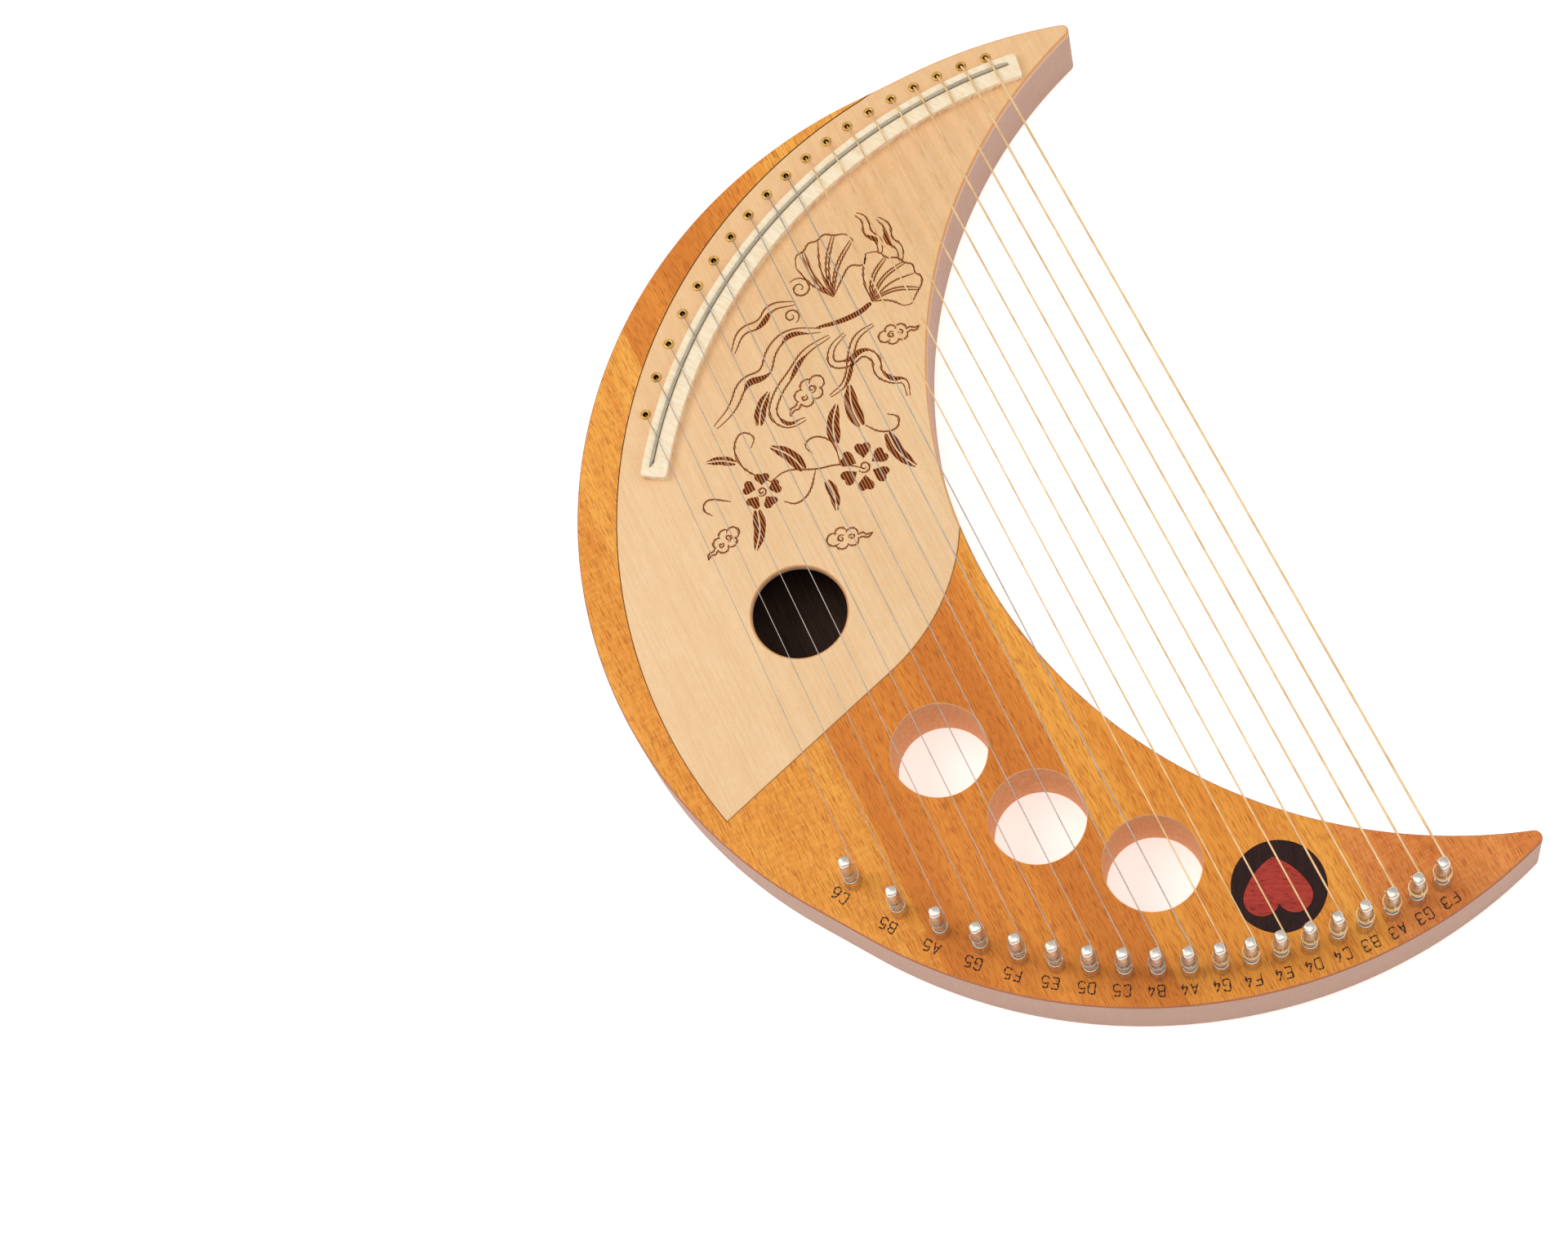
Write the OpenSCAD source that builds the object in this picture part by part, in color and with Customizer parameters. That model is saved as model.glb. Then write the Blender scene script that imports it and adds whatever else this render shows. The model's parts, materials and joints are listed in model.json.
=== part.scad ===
// Crescent lyre harp with nineteen strings, lying on its back.
// X = 0 is the line between the horn tips while drawing, +X is the belly side,
// +Y is the tuning-pin horn, Z = 0 is the back and +Z leaves the playing face.

/* [Body outline] */
// Thickness of the wooden body
body_h = 32; // [30:0.5:36]
// Radius of the outer curve on the tuning-pin side
outer_r = 209.3; // [208.5:0.1:210.5]
// How far that curve's centre lies inside the horn line
outer_cx = 68; // [67.5:0.1:68.5]
// Radius of the fuller curve round the belly
belly_r = 194.8; // [194:0.1:195.5]
// How far the belly curve's centre is moved towards the belly
belly_dx = 27; // [25:0.5:28]
// How far the belly curve's centre is moved towards the string-end horn
belly_dy = -14.5; // [-15:0.1:-14]
// Radius of the open crescent under the strings
gap_r = 204.6; // [204:0.1:205]
// How far the open crescent's centre lies outside the horn line
gap_cx = -66.5; // [-67:0.1:-66]
// Radius of the rounded horn tips
tip_r = 3; // [2.5:0.1:3.5]

/* [Boards] */
// First glue line across the body, from the horn line
seam_1 = 66.6; // [66.4:0.1:66.8]
// Second glue line
seam_2 = 145.6; // [145.5:0.1:145.8]
// Third glue line
seam_3 = 221.6; // [220.5:0.1:223]

/* [Soundboard and chamber] */
// Thickness of the light face plate
plate_h = 3; // [2.5:0.1:4]
// Radius of the plate's shoulder curve
shoulder_r = 85.3; // [84:0.1:86]
// Slope of the plate's edge beyond the shoulder, in degrees
shoulder_slope = 17; // [14:1:20]
// Radius of the sound hole and of the three round ports
port_r = 19; // [18:0.1:19.5]
// Width of solid rim kept round the sound chamber
rim_w = 14.5; // [14:0.1:16]
// Thickness of the panel that closes the chamber from behind
back_h = 3; // [2.5:0.1:4]

/* [Strings and pins] */
// Position of the first string at its ferrule
ferrule_x0 = 36.8; // [36.6:0.1:37]
// Spacing of the strings at the ferrules
ferrule_pitch = 10.67; // [10.66:0.01:10.68]
// Distance of the ferrules from the outer curve
ferrule_inset = 6.9; // [6.5:0.1:7.2]
// Position of the first tuning pin
pin_x0 = 41.1; // [41:0.1:41.2]
// Spacing of the tuning pins
pin_pitch = 10.944; // [10.94:0.001:10.95]
// Radius of a tuning pin
pin_r = 2.5; // [2.4:0.05:2.6]
// Height of a tuning pin above the face
pin_rise = 30; // [27:0.5:32]
// Depth of a tuning pin in the wood
pin_depth = 20; // [16:0.5:21]
// Height of the pin's string hole above the face
pin_hole_rise = 18.4; // [17:0.1:20]
// Turns of string on each pin
coil_turns = 2.25; // [1.25:1:2.25]
// Diameter of the lowest string
bass_d = 1.0; // [0.8:0.05:1.1]

/* [Bridge] */
// Height of the bridge above the face
bridge_h = 4; // [3:0.5:5]
// How far the saddle stands out of the bridge
saddle_proud = 1.2; // [0.6:0.1:2]

/* [Hidden] */
$fn = 96;
NOTES = [
    "f3", "g3", "a3", "b3", "c4", "d4", "e4", "f4", "g4", "a4",
    "b4", "c5", "d5", "e5", "f5", "g5", "a5", "b5", "c6"
];
PIN_NODES = [for (note = NOTES) str("tuning_pin_", note)];
STRING_NODES = [for (note = NOTES) str("string_", note)];

LAST = len(NOTES) - 1;
REACH = 260;            // beyond the body on every side

// Body outline
OUTER_C = [outer_cx, 0];
BELLY_C = OUTER_C + [belly_dx, belly_dy];
GAP_C = [gap_cx, -0.6];
BELLY_REACH = BELLY_C.x + belly_r;
FACE_Z = body_h;

// Soundboard and chamber
SHOULDER_C = [212.8, -58.8];
SHOULDER_BASE_Y = -28.8;
SOUND_HOLE_C = [209.5, -16.7];
CHAMBER_TOP_INSET = 12;
CHAMBER_GAP_INSET = 12;
CHAMBER_START_X = 74;
LEDGE_W = 5;            // glued width of the back panel round the chamber
BRACE_W = 8;
BRACE_H = 9;
BRACE_YS = [-58, -112];

// Ports and inlay lie on one arc
PORT_ARC_C = [-26.2, -24.8];
PORT_ARC_R = 228.3;
PORT_ANGLES = [21.9, 33.7, 45.7];
INLAY_ANGLE = 57.9;
INLAY_R = 18.1;
INLAY_H = 2;
HEART_H = 1;
HEART_TURN = -19.8;
HEART_LOBE = [6.3, 16];             // centre of the right lobe, from the heart's tip
HEART_LOBE_R = 6.9;
HEART_SIDE_R = 26;
HEART_TIP_OFFSET = [-3.2, -11.6];   // from the disc's centre

// Tuning pins
PIN_ARC_C = [65.9, 2.4];
PIN_ARC_R = 194.4;
PIN_FIT = 0.05;         // running clearance round a pin
BUSHING_R = 3.1;
BUSHING_DEPTH = 8;
BUSHING_RISE = 9;
BUSHING_FLANGE_R = 3.5;

// Ferrules and ball ends
FERRULE_R = 1.6;
FERRULE_BORE_R = 0.85;
FERRULE_FLANGE_R = 2.1;
FERRULE_FLANGE_H = 0.8;
FERRULE_DEPTH = 6;
STRING_HOLE_R = 1.0;
BALL_BORE_R = 2.0;
BALL_BORE_H = 4.6;
BALL_R = 1.8;
BALL_H = 3;
BALL_Z = 1;

// Bridge
BRIDGE_C = [58.3, 23.4];
BRIDGE_R_IN = 209.4;
BRIDGE_R_OUT = 220.2;
SADDLE_R = 216.2;
SADDLE_W = 1.6;
SADDLE_DEPTH = 3;
BRIDGE_ANGLES = [-8.5, 56.5];    // from -Y towards +X
SADDLE_ANGLES = [-7.8, 55.8];

// Strings
WOUND_COUNT = 9;
COIL_FIT = 0.35;        // gap between a coil and its pin
COIL_STEPS = 12;        // points round one turn
COIL_PITCH = 1.2;       // rise of one turn, in string diameters
LIFT = 0.15;            // gap kept between a string and the bridge's edge
STRING_SIDES = 6;

function polar(c, r, a) = c + r * [cos(a), sin(a)];
function arc_y(c, r, x, side) = c.y + side * sqrt(r * r - pow(x - c.x, 2));

// Meeting point of two circles, on the left (side 1) or right (side -1) of the line from c1 to c2
function circles_meet(c1, r1, c2, r2, side) =
    let (
        d = norm(c2 - c1),
        u = (c2 - c1) / d,
        along = (d * d + r1 * r1 - r2 * r2) / (2 * d),
        across = sqrt(r1 * r1 - along * along)
    )
    c1 + along * u + side * across * [-u.y, u.x];

function toward(from, to) = (to - from) / norm(to - from);
function angle_of(v) = atan2(v.y, v.x);

function port_c(i) = polar(PORT_ARC_C, PORT_ARC_R, PORT_ANGLES[i]);
INLAY_C = polar(PORT_ARC_C, PORT_ARC_R, INLAY_ANGLE);

function string_d(i) = i < WOUND_COUNT ? bass_d - 0.05 * i : 0.52 - 0.025 * (i - WOUND_COUNT);
function pin_c(i) =
    let (x = pin_x0 + pin_pitch * i)
    [x, arc_y(PIN_ARC_C, PIN_ARC_R, x, 1)];
function ferrule_c(i) =
    let (x = ferrule_x0 + ferrule_pitch * i)
    [x, arc_y(OUTER_C, outer_r - ferrule_inset, x, -1)];
function tip_c(side) = circles_meet(GAP_C, gap_r + tip_r, OUTER_C, outer_r - tip_r, side);

// Puts the origin in the middle of the body's outline
module at_centre() {
    tip_x = min(tip_c(1).x, tip_c(-1).x) - tip_r;
    translate([-(BELLY_REACH + tip_x) / 2, 0, 0])
        children();
}

// ---------------------------------------------------------------- outline

module tangent_fill() {
    d = norm(BELLY_C - OUTER_C);
    axis = angle_of(BELLY_C - OUTER_C);
    spread = acos((outer_r - belly_r) / d);
    polygon([
        OUTER_C,
        polar(OUTER_C, outer_r, axis - spread),
        polar(BELLY_C, belly_r, axis - spread),
        BELLY_C,
        polar(BELLY_C, belly_r, axis + spread),
        polar(OUTER_C, outer_r, axis + spread)
    ]);
}

// Everything beyond the line where a horn's rounded tip begins
module tip_cutter(side) {
    c = tip_c(side);
    on_outer = OUTER_C + outer_r * toward(OUTER_C, c);
    on_gap = GAP_C + gap_r * toward(GAP_C, c);
    out = [-30, 0];
    polygon([on_outer, on_outer + out, on_gap + out, on_gap]);
}

module crescent(with_belly) {
    difference() {
        union() {
            translate(OUTER_C)
                circle(outer_r);
            if (with_belly) {
                translate(BELLY_C)
                    circle(belly_r);
                tangent_fill();
            }
        }
        translate(GAP_C)
            circle(gap_r);
        tip_cutter(1);
        tip_cutter(-1);
    }
    for (side = [1, -1])
        translate(tip_c(side))
            circle(tip_r);
}

// The region below the soundboard's shoulder line, moved inwards by inset
module below_shoulder(inset) {
    r = shoulder_r - inset;
    turn = polar(SHOULDER_C, r, 90 + shoulder_slope);
    far = turn + 150 * [cos(shoulder_slope), sin(shoulder_slope)];
    translate(SHOULDER_C)
        circle(r);
    translate([-REACH, -REACH])
        square([2 * REACH + SHOULDER_C.x, REACH + SHOULDER_BASE_Y]);
    polygon([turn, far, [far.x, SHOULDER_C.y], SHOULDER_C]);
}

// The sound chamber's outline, moved outwards by grow
module chamber(grow) {
    difference() {
        intersection() {
            translate(OUTER_C)
                circle(outer_r - rim_w + grow);
            below_shoulder(CHAMBER_TOP_INSET - grow);
            translate([CHAMBER_START_X - grow, -REACH])
                square([REACH, 2 * REACH]);
        }
        translate(GAP_C)
            circle(gap_r + CHAMBER_GAP_INSET - grow);
    }
}

// ---------------------------------------------------------------- boards

// Lets the soundboard into the face, flush; it runs out past the inner edge
module soundboard_rebate() {
    translate([0, 0, FACE_Z - plate_h])
        linear_extrude(plate_h + 1)
            intersection() {
                translate(OUTER_C)
                    circle(outer_r);
                below_shoulder(0);
            }
}

module pin_hole(i) {
    translate(concat(pin_c(i), FACE_Z - pin_depth - 0.3))
        cylinder(r = pin_r + PIN_FIT, h = pin_depth + 1);
    translate(concat(pin_c(i), FACE_Z - BUSHING_DEPTH))
        cylinder(r = BUSHING_R, h = BUSHING_DEPTH + 1);
}

module string_hole(i) {
    translate(concat(ferrule_c(i), -1))
        cylinder(r = BALL_BORE_R, h = BALL_BORE_H + 1);
    translate(concat(ferrule_c(i), 0))
        cylinder(r = STRING_HOLE_R, h = FACE_Z + 1);
    translate(concat(ferrule_c(i), FACE_Z - FERRULE_DEPTH))
        cylinder(r = FERRULE_R, h = FERRULE_DEPTH + 1);
}

// The part of the body between two glue lines, on one or both sides of y = 0.
// A board that the soundboard covers all over is lower by the plate's thickness.
module body_board(x_low, x_high, y_low, y_high) {
    covered = y_high <= 0 && x_high < OUTER_C.x;
    h = covered ? body_h - plate_h : body_h;
    difference() {
        intersection() {
            linear_extrude(h)
                crescent(true);
            translate([x_low, y_low, -1])
                cube([x_high - x_low, y_high - y_low, body_h + 2]);
        }
        if (y_low < 0 && !covered)
            soundboard_rebate();
        if (y_low < 0 && x_high > CHAMBER_START_X) {
            translate([0, 0, -1])
                linear_extrude(body_h + 2)
                    chamber(0);
            translate([0, 0, -1])
                linear_extrude(back_h + 1)
                    chamber(LEDGE_W);
        }
        for (i = [0 : LAST]) {
            if (y_high > 0 && pin_c(i).x > x_low && pin_c(i).x < x_high)
                pin_hole(i);
            if (y_low < 0 && ferrule_c(i).x > x_low && ferrule_c(i).x < x_high)
                string_hole(i);
        }
        for (i = [0 : 2])
            if (y_high > 0 && port_c(i).x + port_r > x_low && port_c(i).x - port_r < x_high)
                translate(concat(port_c(i), -1))
                    cylinder(r = port_r, h = body_h + 2);
        if (y_high > 0 && INLAY_C.x > x_low && INLAY_C.x < x_high)
            translate(concat(INLAY_C, FACE_Z - INLAY_H))
                cylinder(r = INLAY_R, h = INLAY_H + 1);
    }
}

module horn_tip_upper() {
    color("peru")
        at_centre()
            body_board(-10, seam_1, 0, REACH);
}

module arm_board_upper() {
    color("darkgoldenrod")
        at_centre()
            body_board(seam_1, seam_2, 0, REACH);
}

module belly_board_inner() {
    color("peru")
        at_centre()
            body_board(seam_2, seam_3, -REACH, REACH);
}

module belly_board_outer() {
    color("darkgoldenrod")
        at_centre()
            body_board(seam_3, BELLY_REACH + 10, -REACH, REACH);
}

module arm_board_lower() {
    color("darkgoldenrod")
        at_centre()
            body_board(seam_1, seam_2, -REACH, 0);
}

module horn_tip_lower() {
    color("peru")
        at_centre()
            body_board(-10, seam_1, -REACH, 0);
}

// ---------------------------------------------------------------- soundboard

module soundboard() {
    color("burlywood")
        at_centre()
            translate([0, 0, FACE_Z - plate_h])
                difference() {
                    linear_extrude(plate_h)
                        intersection() {
                            crescent(false);
                            below_shoulder(0);
                        }
                    translate(concat(SOUND_HOLE_C, -1))
                        cylinder(r = port_r, h = plate_h + 2);
                    for (i = [0 : LAST])
                        translate(concat(ferrule_c(i), -1))
                            cylinder(r = FERRULE_R, h = plate_h + 2);
                }
}

// Closes the chamber from behind, let in flush on a ledge
module back_panel() {
    color("sandybrown")
        at_centre()
            linear_extrude(back_h)
                chamber(LEDGE_W);
}

// A bar glued under the soundboard, from one chamber wall to the other
module brace(y) {
    translate([0, 0, FACE_Z - plate_h - BRACE_H])
        linear_extrude(BRACE_H)
            intersection() {
                chamber(0);
                translate([0, y])
                    square([REACH, BRACE_W]);
            }
}

module brace_upper() {
    color("wheat")
        at_centre()
            brace(BRACE_YS[0]);
}

module brace_lower() {
    color("wheat")
        at_centre()
            brace(BRACE_YS[1]);
}

// ---------------------------------------------------------------- bridge

// A flat ring sector round the bridge's centre, its angles taken from -Y towards +X
module ring_sector(r_in, r_out, angles) {
    reach = 2 * r_out;
    mid = (angles[0] + angles[1]) / 2;
    translate(BRIDGE_C)
        intersection() {
            difference() {
                circle(r_out);
                circle(r_in);
            }
            polygon([
                [0, 0],
                polar([0, 0], reach, angles[0] - 90),
                polar([0, 0], reach, mid - 90),
                polar([0, 0], reach, angles[1] - 90)
            ]);
        }
}

module bridge() {
    color("cornsilk")
        at_centre()
            translate([0, 0, FACE_Z])
                difference() {
                    linear_extrude(bridge_h)
                        ring_sector(BRIDGE_R_IN, BRIDGE_R_OUT, BRIDGE_ANGLES);
                    translate([0, 0, bridge_h - SADDLE_DEPTH])
                        linear_extrude(bridge_h)
                            ring_sector(
                                SADDLE_R - SADDLE_W / 2, SADDLE_R + SADDLE_W / 2, SADDLE_ANGLES
                            );
                }
}

module saddle() {
    color("darkkhaki")
        at_centre()
            translate([0, 0, FACE_Z + bridge_h - SADDLE_DEPTH])
                linear_extrude(SADDLE_DEPTH + saddle_proud)
                    ring_sector(
                        SADDLE_R - SADDLE_W / 2, SADDLE_R + SADDLE_W / 2, SADDLE_ANGLES
                    );
}

// ---------------------------------------------------------------- metalwork

module ferrule() {
    translate([0, 0, FACE_Z])
        rotate_extrude()
            polygon([
                [FERRULE_BORE_R, -FERRULE_DEPTH],
                [FERRULE_R, -FERRULE_DEPTH],
                [FERRULE_R, 0],
                [FERRULE_FLANGE_R, 0],
                [FERRULE_FLANGE_R, FERRULE_FLANGE_H * 0.5],
                [FERRULE_FLANGE_R - 0.3, FERRULE_FLANGE_H],
                [FERRULE_BORE_R + 0.5, FERRULE_FLANGE_H],
                [FERRULE_BORE_R, FERRULE_FLANGE_H * 0.4]
            ]);
}

module string_ferrules() {
    color("goldenrod")
        at_centre()
            for (i = [0 : LAST])
                translate(ferrule_c(i))
                    ferrule();
}

// A waisted barrel that stops the string behind the body
module ball_end() {
    rotate_extrude()
        polygon([
            [0, 0], [BALL_R, 0], [BALL_R, 0.8], [BALL_R - 0.5, 1.2],
            [BALL_R - 0.5, BALL_H - 1.2], [BALL_R, BALL_H - 0.8], [BALL_R, BALL_H], [0, BALL_H]
        ]);
}

module string_ball_ends() {
    color("gold")
        at_centre()
            for (i = [0 : LAST])
                translate(concat(ferrule_c(i), BALL_Z))
                    ball_end();
}

module bushing() {
    bore = pin_r + PIN_FIT;
    translate([0, 0, FACE_Z])
        rotate_extrude()
            polygon([
                [bore, -BUSHING_DEPTH],
                [BUSHING_R, -BUSHING_DEPTH],
                [BUSHING_R, 0],
                [BUSHING_FLANGE_R, 0],
                [BUSHING_FLANGE_R, 0.5],
                [BUSHING_R, 1.3],
                [BUSHING_R, BUSHING_RISE - 0.5],
                [BUSHING_R - 0.3, BUSHING_RISE],
                [bore, BUSHING_RISE]
            ]);
}

module pin_bushings() {
    color("silver")
        at_centre()
            for (i = [0 : LAST])
                translate(pin_c(i))
                    bushing();
}

// Four flats lean in towards the top of the pin, for a tuning key
module key_flats() {
    flat_start = pin_rise - 6.5;
    for (a = [0 : 90 : 270])
        rotate(a)
            translate([pin_r * 0.86, -pin_r * 2, flat_start])
                rotate([0, -3.5, 0])
                    cube([pin_r * 2, pin_r * 4, 12]);
}

module pin_blank() {
    rotate_extrude()
        polygon([
            [0, -pin_depth],
            [pin_r - 0.6, -pin_depth],
            [pin_r, -pin_depth + 1],
            [pin_r, pin_rise - 1.4],
            [pin_r * 0.62, pin_rise],
            [0, pin_rise]
        ]);
}

module tuning_pin(i) {
    color("gainsboro")
        at_centre()
            translate(concat(pin_c(i), FACE_Z))
                difference() {
                    pin_blank();
                    key_flats();
                    translate([0, 0, pin_hole_rise])
                        rotate([90, 0, 0])
                            cylinder(r = 0.6, h = pin_r * 4, center = true);
                }
}

// ---------------------------------------------------------------- inlay

// A heart with its tip at the origin and its lobes towards +Y
module heart_outline() {
    lobe = [-HEART_LOBE.x, HEART_LOBE.y];
    side_c = circles_meet([0, 0], HEART_SIDE_R, lobe, HEART_SIDE_R - HEART_LOBE_R, -1);
    meet = side_c + HEART_SIDE_R * toward(side_c, lobe);
    for (s = [-1, 1])
        translate([s * HEART_LOBE.x, HEART_LOBE.y])
            circle(HEART_LOBE_R);
    intersection() {
        translate(side_c)
            circle(HEART_SIDE_R);
        translate([-side_c.x, side_c.y])
            circle(HEART_SIDE_R);
        polygon([
            meet,
            [-HEART_LOBE.x, HEART_LOBE.y],
            [HEART_LOBE.x, HEART_LOBE.y],
            [-meet.x, meet.y],
            [20, -1],
            [-20, -1]
        ]);
    }
}

module heart_solid() {
    translate(INLAY_C + HEART_TIP_OFFSET)
        rotate(HEART_TURN)
            linear_extrude(HEART_H)
                heart_outline();
}

module inlay_disc() {
    color([0.25, 0.12, 0.12])
        at_centre()
            difference() {
                translate(concat(INLAY_C, FACE_Z - INLAY_H))
                    cylinder(r = INLAY_R, h = INLAY_H);
                translate([0, 0, FACE_Z - HEART_H])
                    scale([1, 1, 2])
                        heart_solid();
            }
}

module inlay_heart() {
    color("firebrick")
        at_centre()
            translate([0, 0, FACE_Z - HEART_H])
                heart_solid();
}

// ---------------------------------------------------------------- strings

// From the ball end up through its ferrule, over the bridge's back edge and
// the saddle, and round the tuning pin
function string_route(i) =
    let (
        r = string_d(i) / 2,
        wrap_r = pin_r + COIL_FIT + r,
        rise = string_d(i) * COIL_PITCH,
        z_end = FACE_Z + pin_hole_rise - 1,
        z_start = z_end - rise * coil_turns,
        steps = coil_turns * COIL_STEPS,
        f = ferrule_c(i),
        p = pin_c(i),
        edge_y = arc_y(BRIDGE_C, BRIDGE_R_OUT, f.x, -1),
        saddle_y = arc_y(BRIDGE_C, SADDLE_R, f.x, -1),
        lean = BRIDGE_R_OUT / (BRIDGE_C.y - edge_y),
        bridge_z = FACE_Z + bridge_h,
        off = r + LIFT,
        half_saddle = SADDLE_W / 2 + 0.1
    )
    concat(
        [
            [f.x, f.y, BALL_Z + BALL_H],
            [f.x, f.y, FACE_Z - 0.5],
            [f.x, f.y + 0.25, FACE_Z + 0.7],
            [f.x, edge_y - lean * off, bridge_z - 0.3],
            [f.x, edge_y - lean * off * 0.7, bridge_z + off * 0.7],
            [f.x, edge_y + lean * 0.6, bridge_z + off],
            [f.x, saddle_y - lean * half_saddle, bridge_z + saddle_proud + r + 0.05],
            [f.x, saddle_y + lean * half_saddle, bridge_z + saddle_proud + r + 0.05]
        ],
        [
            for (k = [0 : steps])
                concat(
                    polar(p, wrap_r, 180 - 360 * k / COIL_STEPS),
                    z_start + rise * k / COIL_STEPS
                )
        ]
    );

function route_dir(pts, k) =
    toward(pts[max(k - 1, 0)], pts[min(k + 1, len(pts) - 1)]);
function made_square(v, t) = let (w = v - (v * t) * t) w / norm(w);

// Side vectors carried along the route, so that the tube doesn't twist
function side_vectors(pts, k, prev) =
    k == len(pts) ? [] :
    let (v = made_square(prev, route_dir(pts, k)))
    concat([v], side_vectors(pts, k + 1, v));

module tube(pts, r) {
    sides = side_vectors(pts, 0, [1, 0, 0]);
    n = STRING_SIDES;
    rings = len(pts);
    points = [
        for (k = [0 : rings - 1])
            let (u = sides[k], w = cross(route_dir(pts, k), u))
            for (j = [0 : n - 1])
                pts[k] + r * (cos(360 * j / n) * u + sin(360 * j / n) * w)
    ];
    walls = [
        for (k = [0 : rings - 2], j = [0 : n - 1])
            let (a = k * n + j, b = k * n + (j + 1) % n)
            each [[a, a + n, b], [b, a + n, b + n]]
    ];
    caps = [
        [for (j = [0 : n - 1]) j],
        [for (j = [n - 1 : -1 : 0]) (rings - 1) * n + j]
    ];
    polyhedron(points, concat(walls, caps), convexity = 10);
}

module string(i) {
    color(i < WOUND_COUNT ? "darkgoldenrod" : "silver")
        at_centre()
            tube(string_route(i), string_d(i) / 2);
}

horn_tip_upper();
arm_board_upper();
belly_board_inner();
belly_board_outer();
arm_board_lower();
horn_tip_lower();
soundboard();
back_panel();
brace_upper();
brace_lower();
bridge();
saddle();
string_ferrules();
string_ball_ends();
pin_bushings();
inlay_disc();
inlay_heart();
for (i = [0 : LAST]) {
    tuning_pin(i);
    string(i);
}
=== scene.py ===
import json
import math
import random

import bmesh
import bpy
from mathutils import Matrix, Vector
from mathutils.geometry import tessellate_polygon


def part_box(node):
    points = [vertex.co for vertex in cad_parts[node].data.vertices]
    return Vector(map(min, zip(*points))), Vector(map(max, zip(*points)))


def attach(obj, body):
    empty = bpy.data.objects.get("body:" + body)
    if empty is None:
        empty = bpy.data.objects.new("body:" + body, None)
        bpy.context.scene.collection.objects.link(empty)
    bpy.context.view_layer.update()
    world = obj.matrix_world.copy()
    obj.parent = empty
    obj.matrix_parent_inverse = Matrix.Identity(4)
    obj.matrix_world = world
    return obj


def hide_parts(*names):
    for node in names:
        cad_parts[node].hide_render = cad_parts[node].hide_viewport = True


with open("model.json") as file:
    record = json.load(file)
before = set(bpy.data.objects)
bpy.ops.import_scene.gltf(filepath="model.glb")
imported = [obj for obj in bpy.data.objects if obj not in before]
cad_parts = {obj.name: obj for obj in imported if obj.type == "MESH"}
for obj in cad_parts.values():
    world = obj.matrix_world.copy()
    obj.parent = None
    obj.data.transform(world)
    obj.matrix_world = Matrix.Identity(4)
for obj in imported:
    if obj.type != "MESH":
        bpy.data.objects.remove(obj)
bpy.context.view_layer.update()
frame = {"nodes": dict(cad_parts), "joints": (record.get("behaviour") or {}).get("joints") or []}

# ------------------------------------------------------------------ mahogany body
# Six mahogany boards glued edge to edge and sawn to a crescent 32 mm thick, stained amber on
# the face and left pinkish on the sawn walls. Every outside edge is rounded over by hand.
# The belly is routed right through, leaving a ledge at the back for a thin panel.
MM = 0.001
FIRST_SEAM = 66.6        # from the line between the horn tips
OUTER_C = (68, 0)
OUTER_R = 209.3
BELLY_C = (95, -14.5)
BELLY_R = 194.8
GAP_C = (-66.5, -0.6)
GAP_R = 204.6
TIP_R = 3
EDGE_ROUND = 1.3
PORT_R = 19
PORT_ARC_C = (-26.2, -24.8)
PORT_ARC_R = 228.3
PORT_BEARINGS = (21.9, 33.7, 45.7)
SHOULDER_C = (212.8, -58.8)
SHOULDER_R = 85.3
SHOULDER_SLOPE = 17
PLATE_H = 3
RIM_STARTS = -83.5         # bearing where the boards first show outside the face plate
LEDGE_W = 5
PANEL_H = 3
STRINGS = 19
FAR = 260                  # past every edge of the crescent
UNDER_ALL = -5             # cutters start under the back and end over the face
OVER_ALL = 40
GLUE_FILM = 0.08           # round the face plate and the inlays
CLOSEST = 0.06             # points nearer than this would fold when a loop is moved

body_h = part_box("horn_tip_upper")[1].z / MM
horn_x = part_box("horn_tip_upper")[1].x / MM - FIRST_SEAM
to_frame = Matrix.Diagonal((MM, MM, MM, 1)) @ Matrix.Translation((horn_x, 0, 0))


def polar(centre, radius, degrees):
    turn = math.radians(degrees)
    return (centre[0] + radius * math.cos(turn), centre[1] + radius * math.sin(turn))


def bearing(centre, point):
    return math.degrees(math.atan2(point[1] - centre[1], point[0] - centre[0]))


def arc(centre, radius, start, end):
    """Points along an arc, at most 4 degrees and 2.5 mm apart."""
    sweep = abs(end - start)
    steps = max(math.ceil(sweep / 4), math.ceil(math.radians(sweep) * radius / 2.5))
    return [polar(centre, radius, start + (end - start) * k / steps) for k in range(steps + 1)]


def crossing(c1, r1, c2, r2, side):
    """Where two circles cross, on the left (1) or the right (-1) of the line from c1 to c2."""
    apart = math.dist(c1, c2)
    along = (apart ** 2 + r1 ** 2 - r2 ** 2) / (2 * apart)
    turn = math.degrees(math.acos(along / r1))
    return polar(c1, r1, bearing(c1, c2) + side * turn)


def run_to_circle(point, heading, centre, radius):
    """Where a straight line from a point inside a circle meets it."""
    step = Vector(polar((0, 0), 1, heading))
    from_centre = Vector(point) - Vector(centre)
    near = from_centre.dot(step)
    length = -near + math.sqrt(near ** 2 - from_centre.length_squared + radius ** 2)
    return tuple(Vector(point) + step * length)


def distinct(loop):
    """The loop without points that all but coincide."""
    return [point for k, point in enumerate(loop) if math.dist(point, loop[k - 1]) > CLOSEST]


def inward(loop, distance):
    """The loop moved to its left, which is towards the solid."""
    moved = []
    for k, point in enumerate(loop):
        here = Vector(point)
        before = (here - Vector(loop[k - 1])).normalized()
        after = (Vector(loop[(k + 1) % len(loop)]) - here).normalized()
        left = Vector((-before.y - after.y, before.x + after.x))
        moved.append(here + left * distance / (1 + before.dot(after)))
    return moved


def placed(thing):
    bpy.context.scene.collection.objects.link(thing)
    return thing


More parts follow.
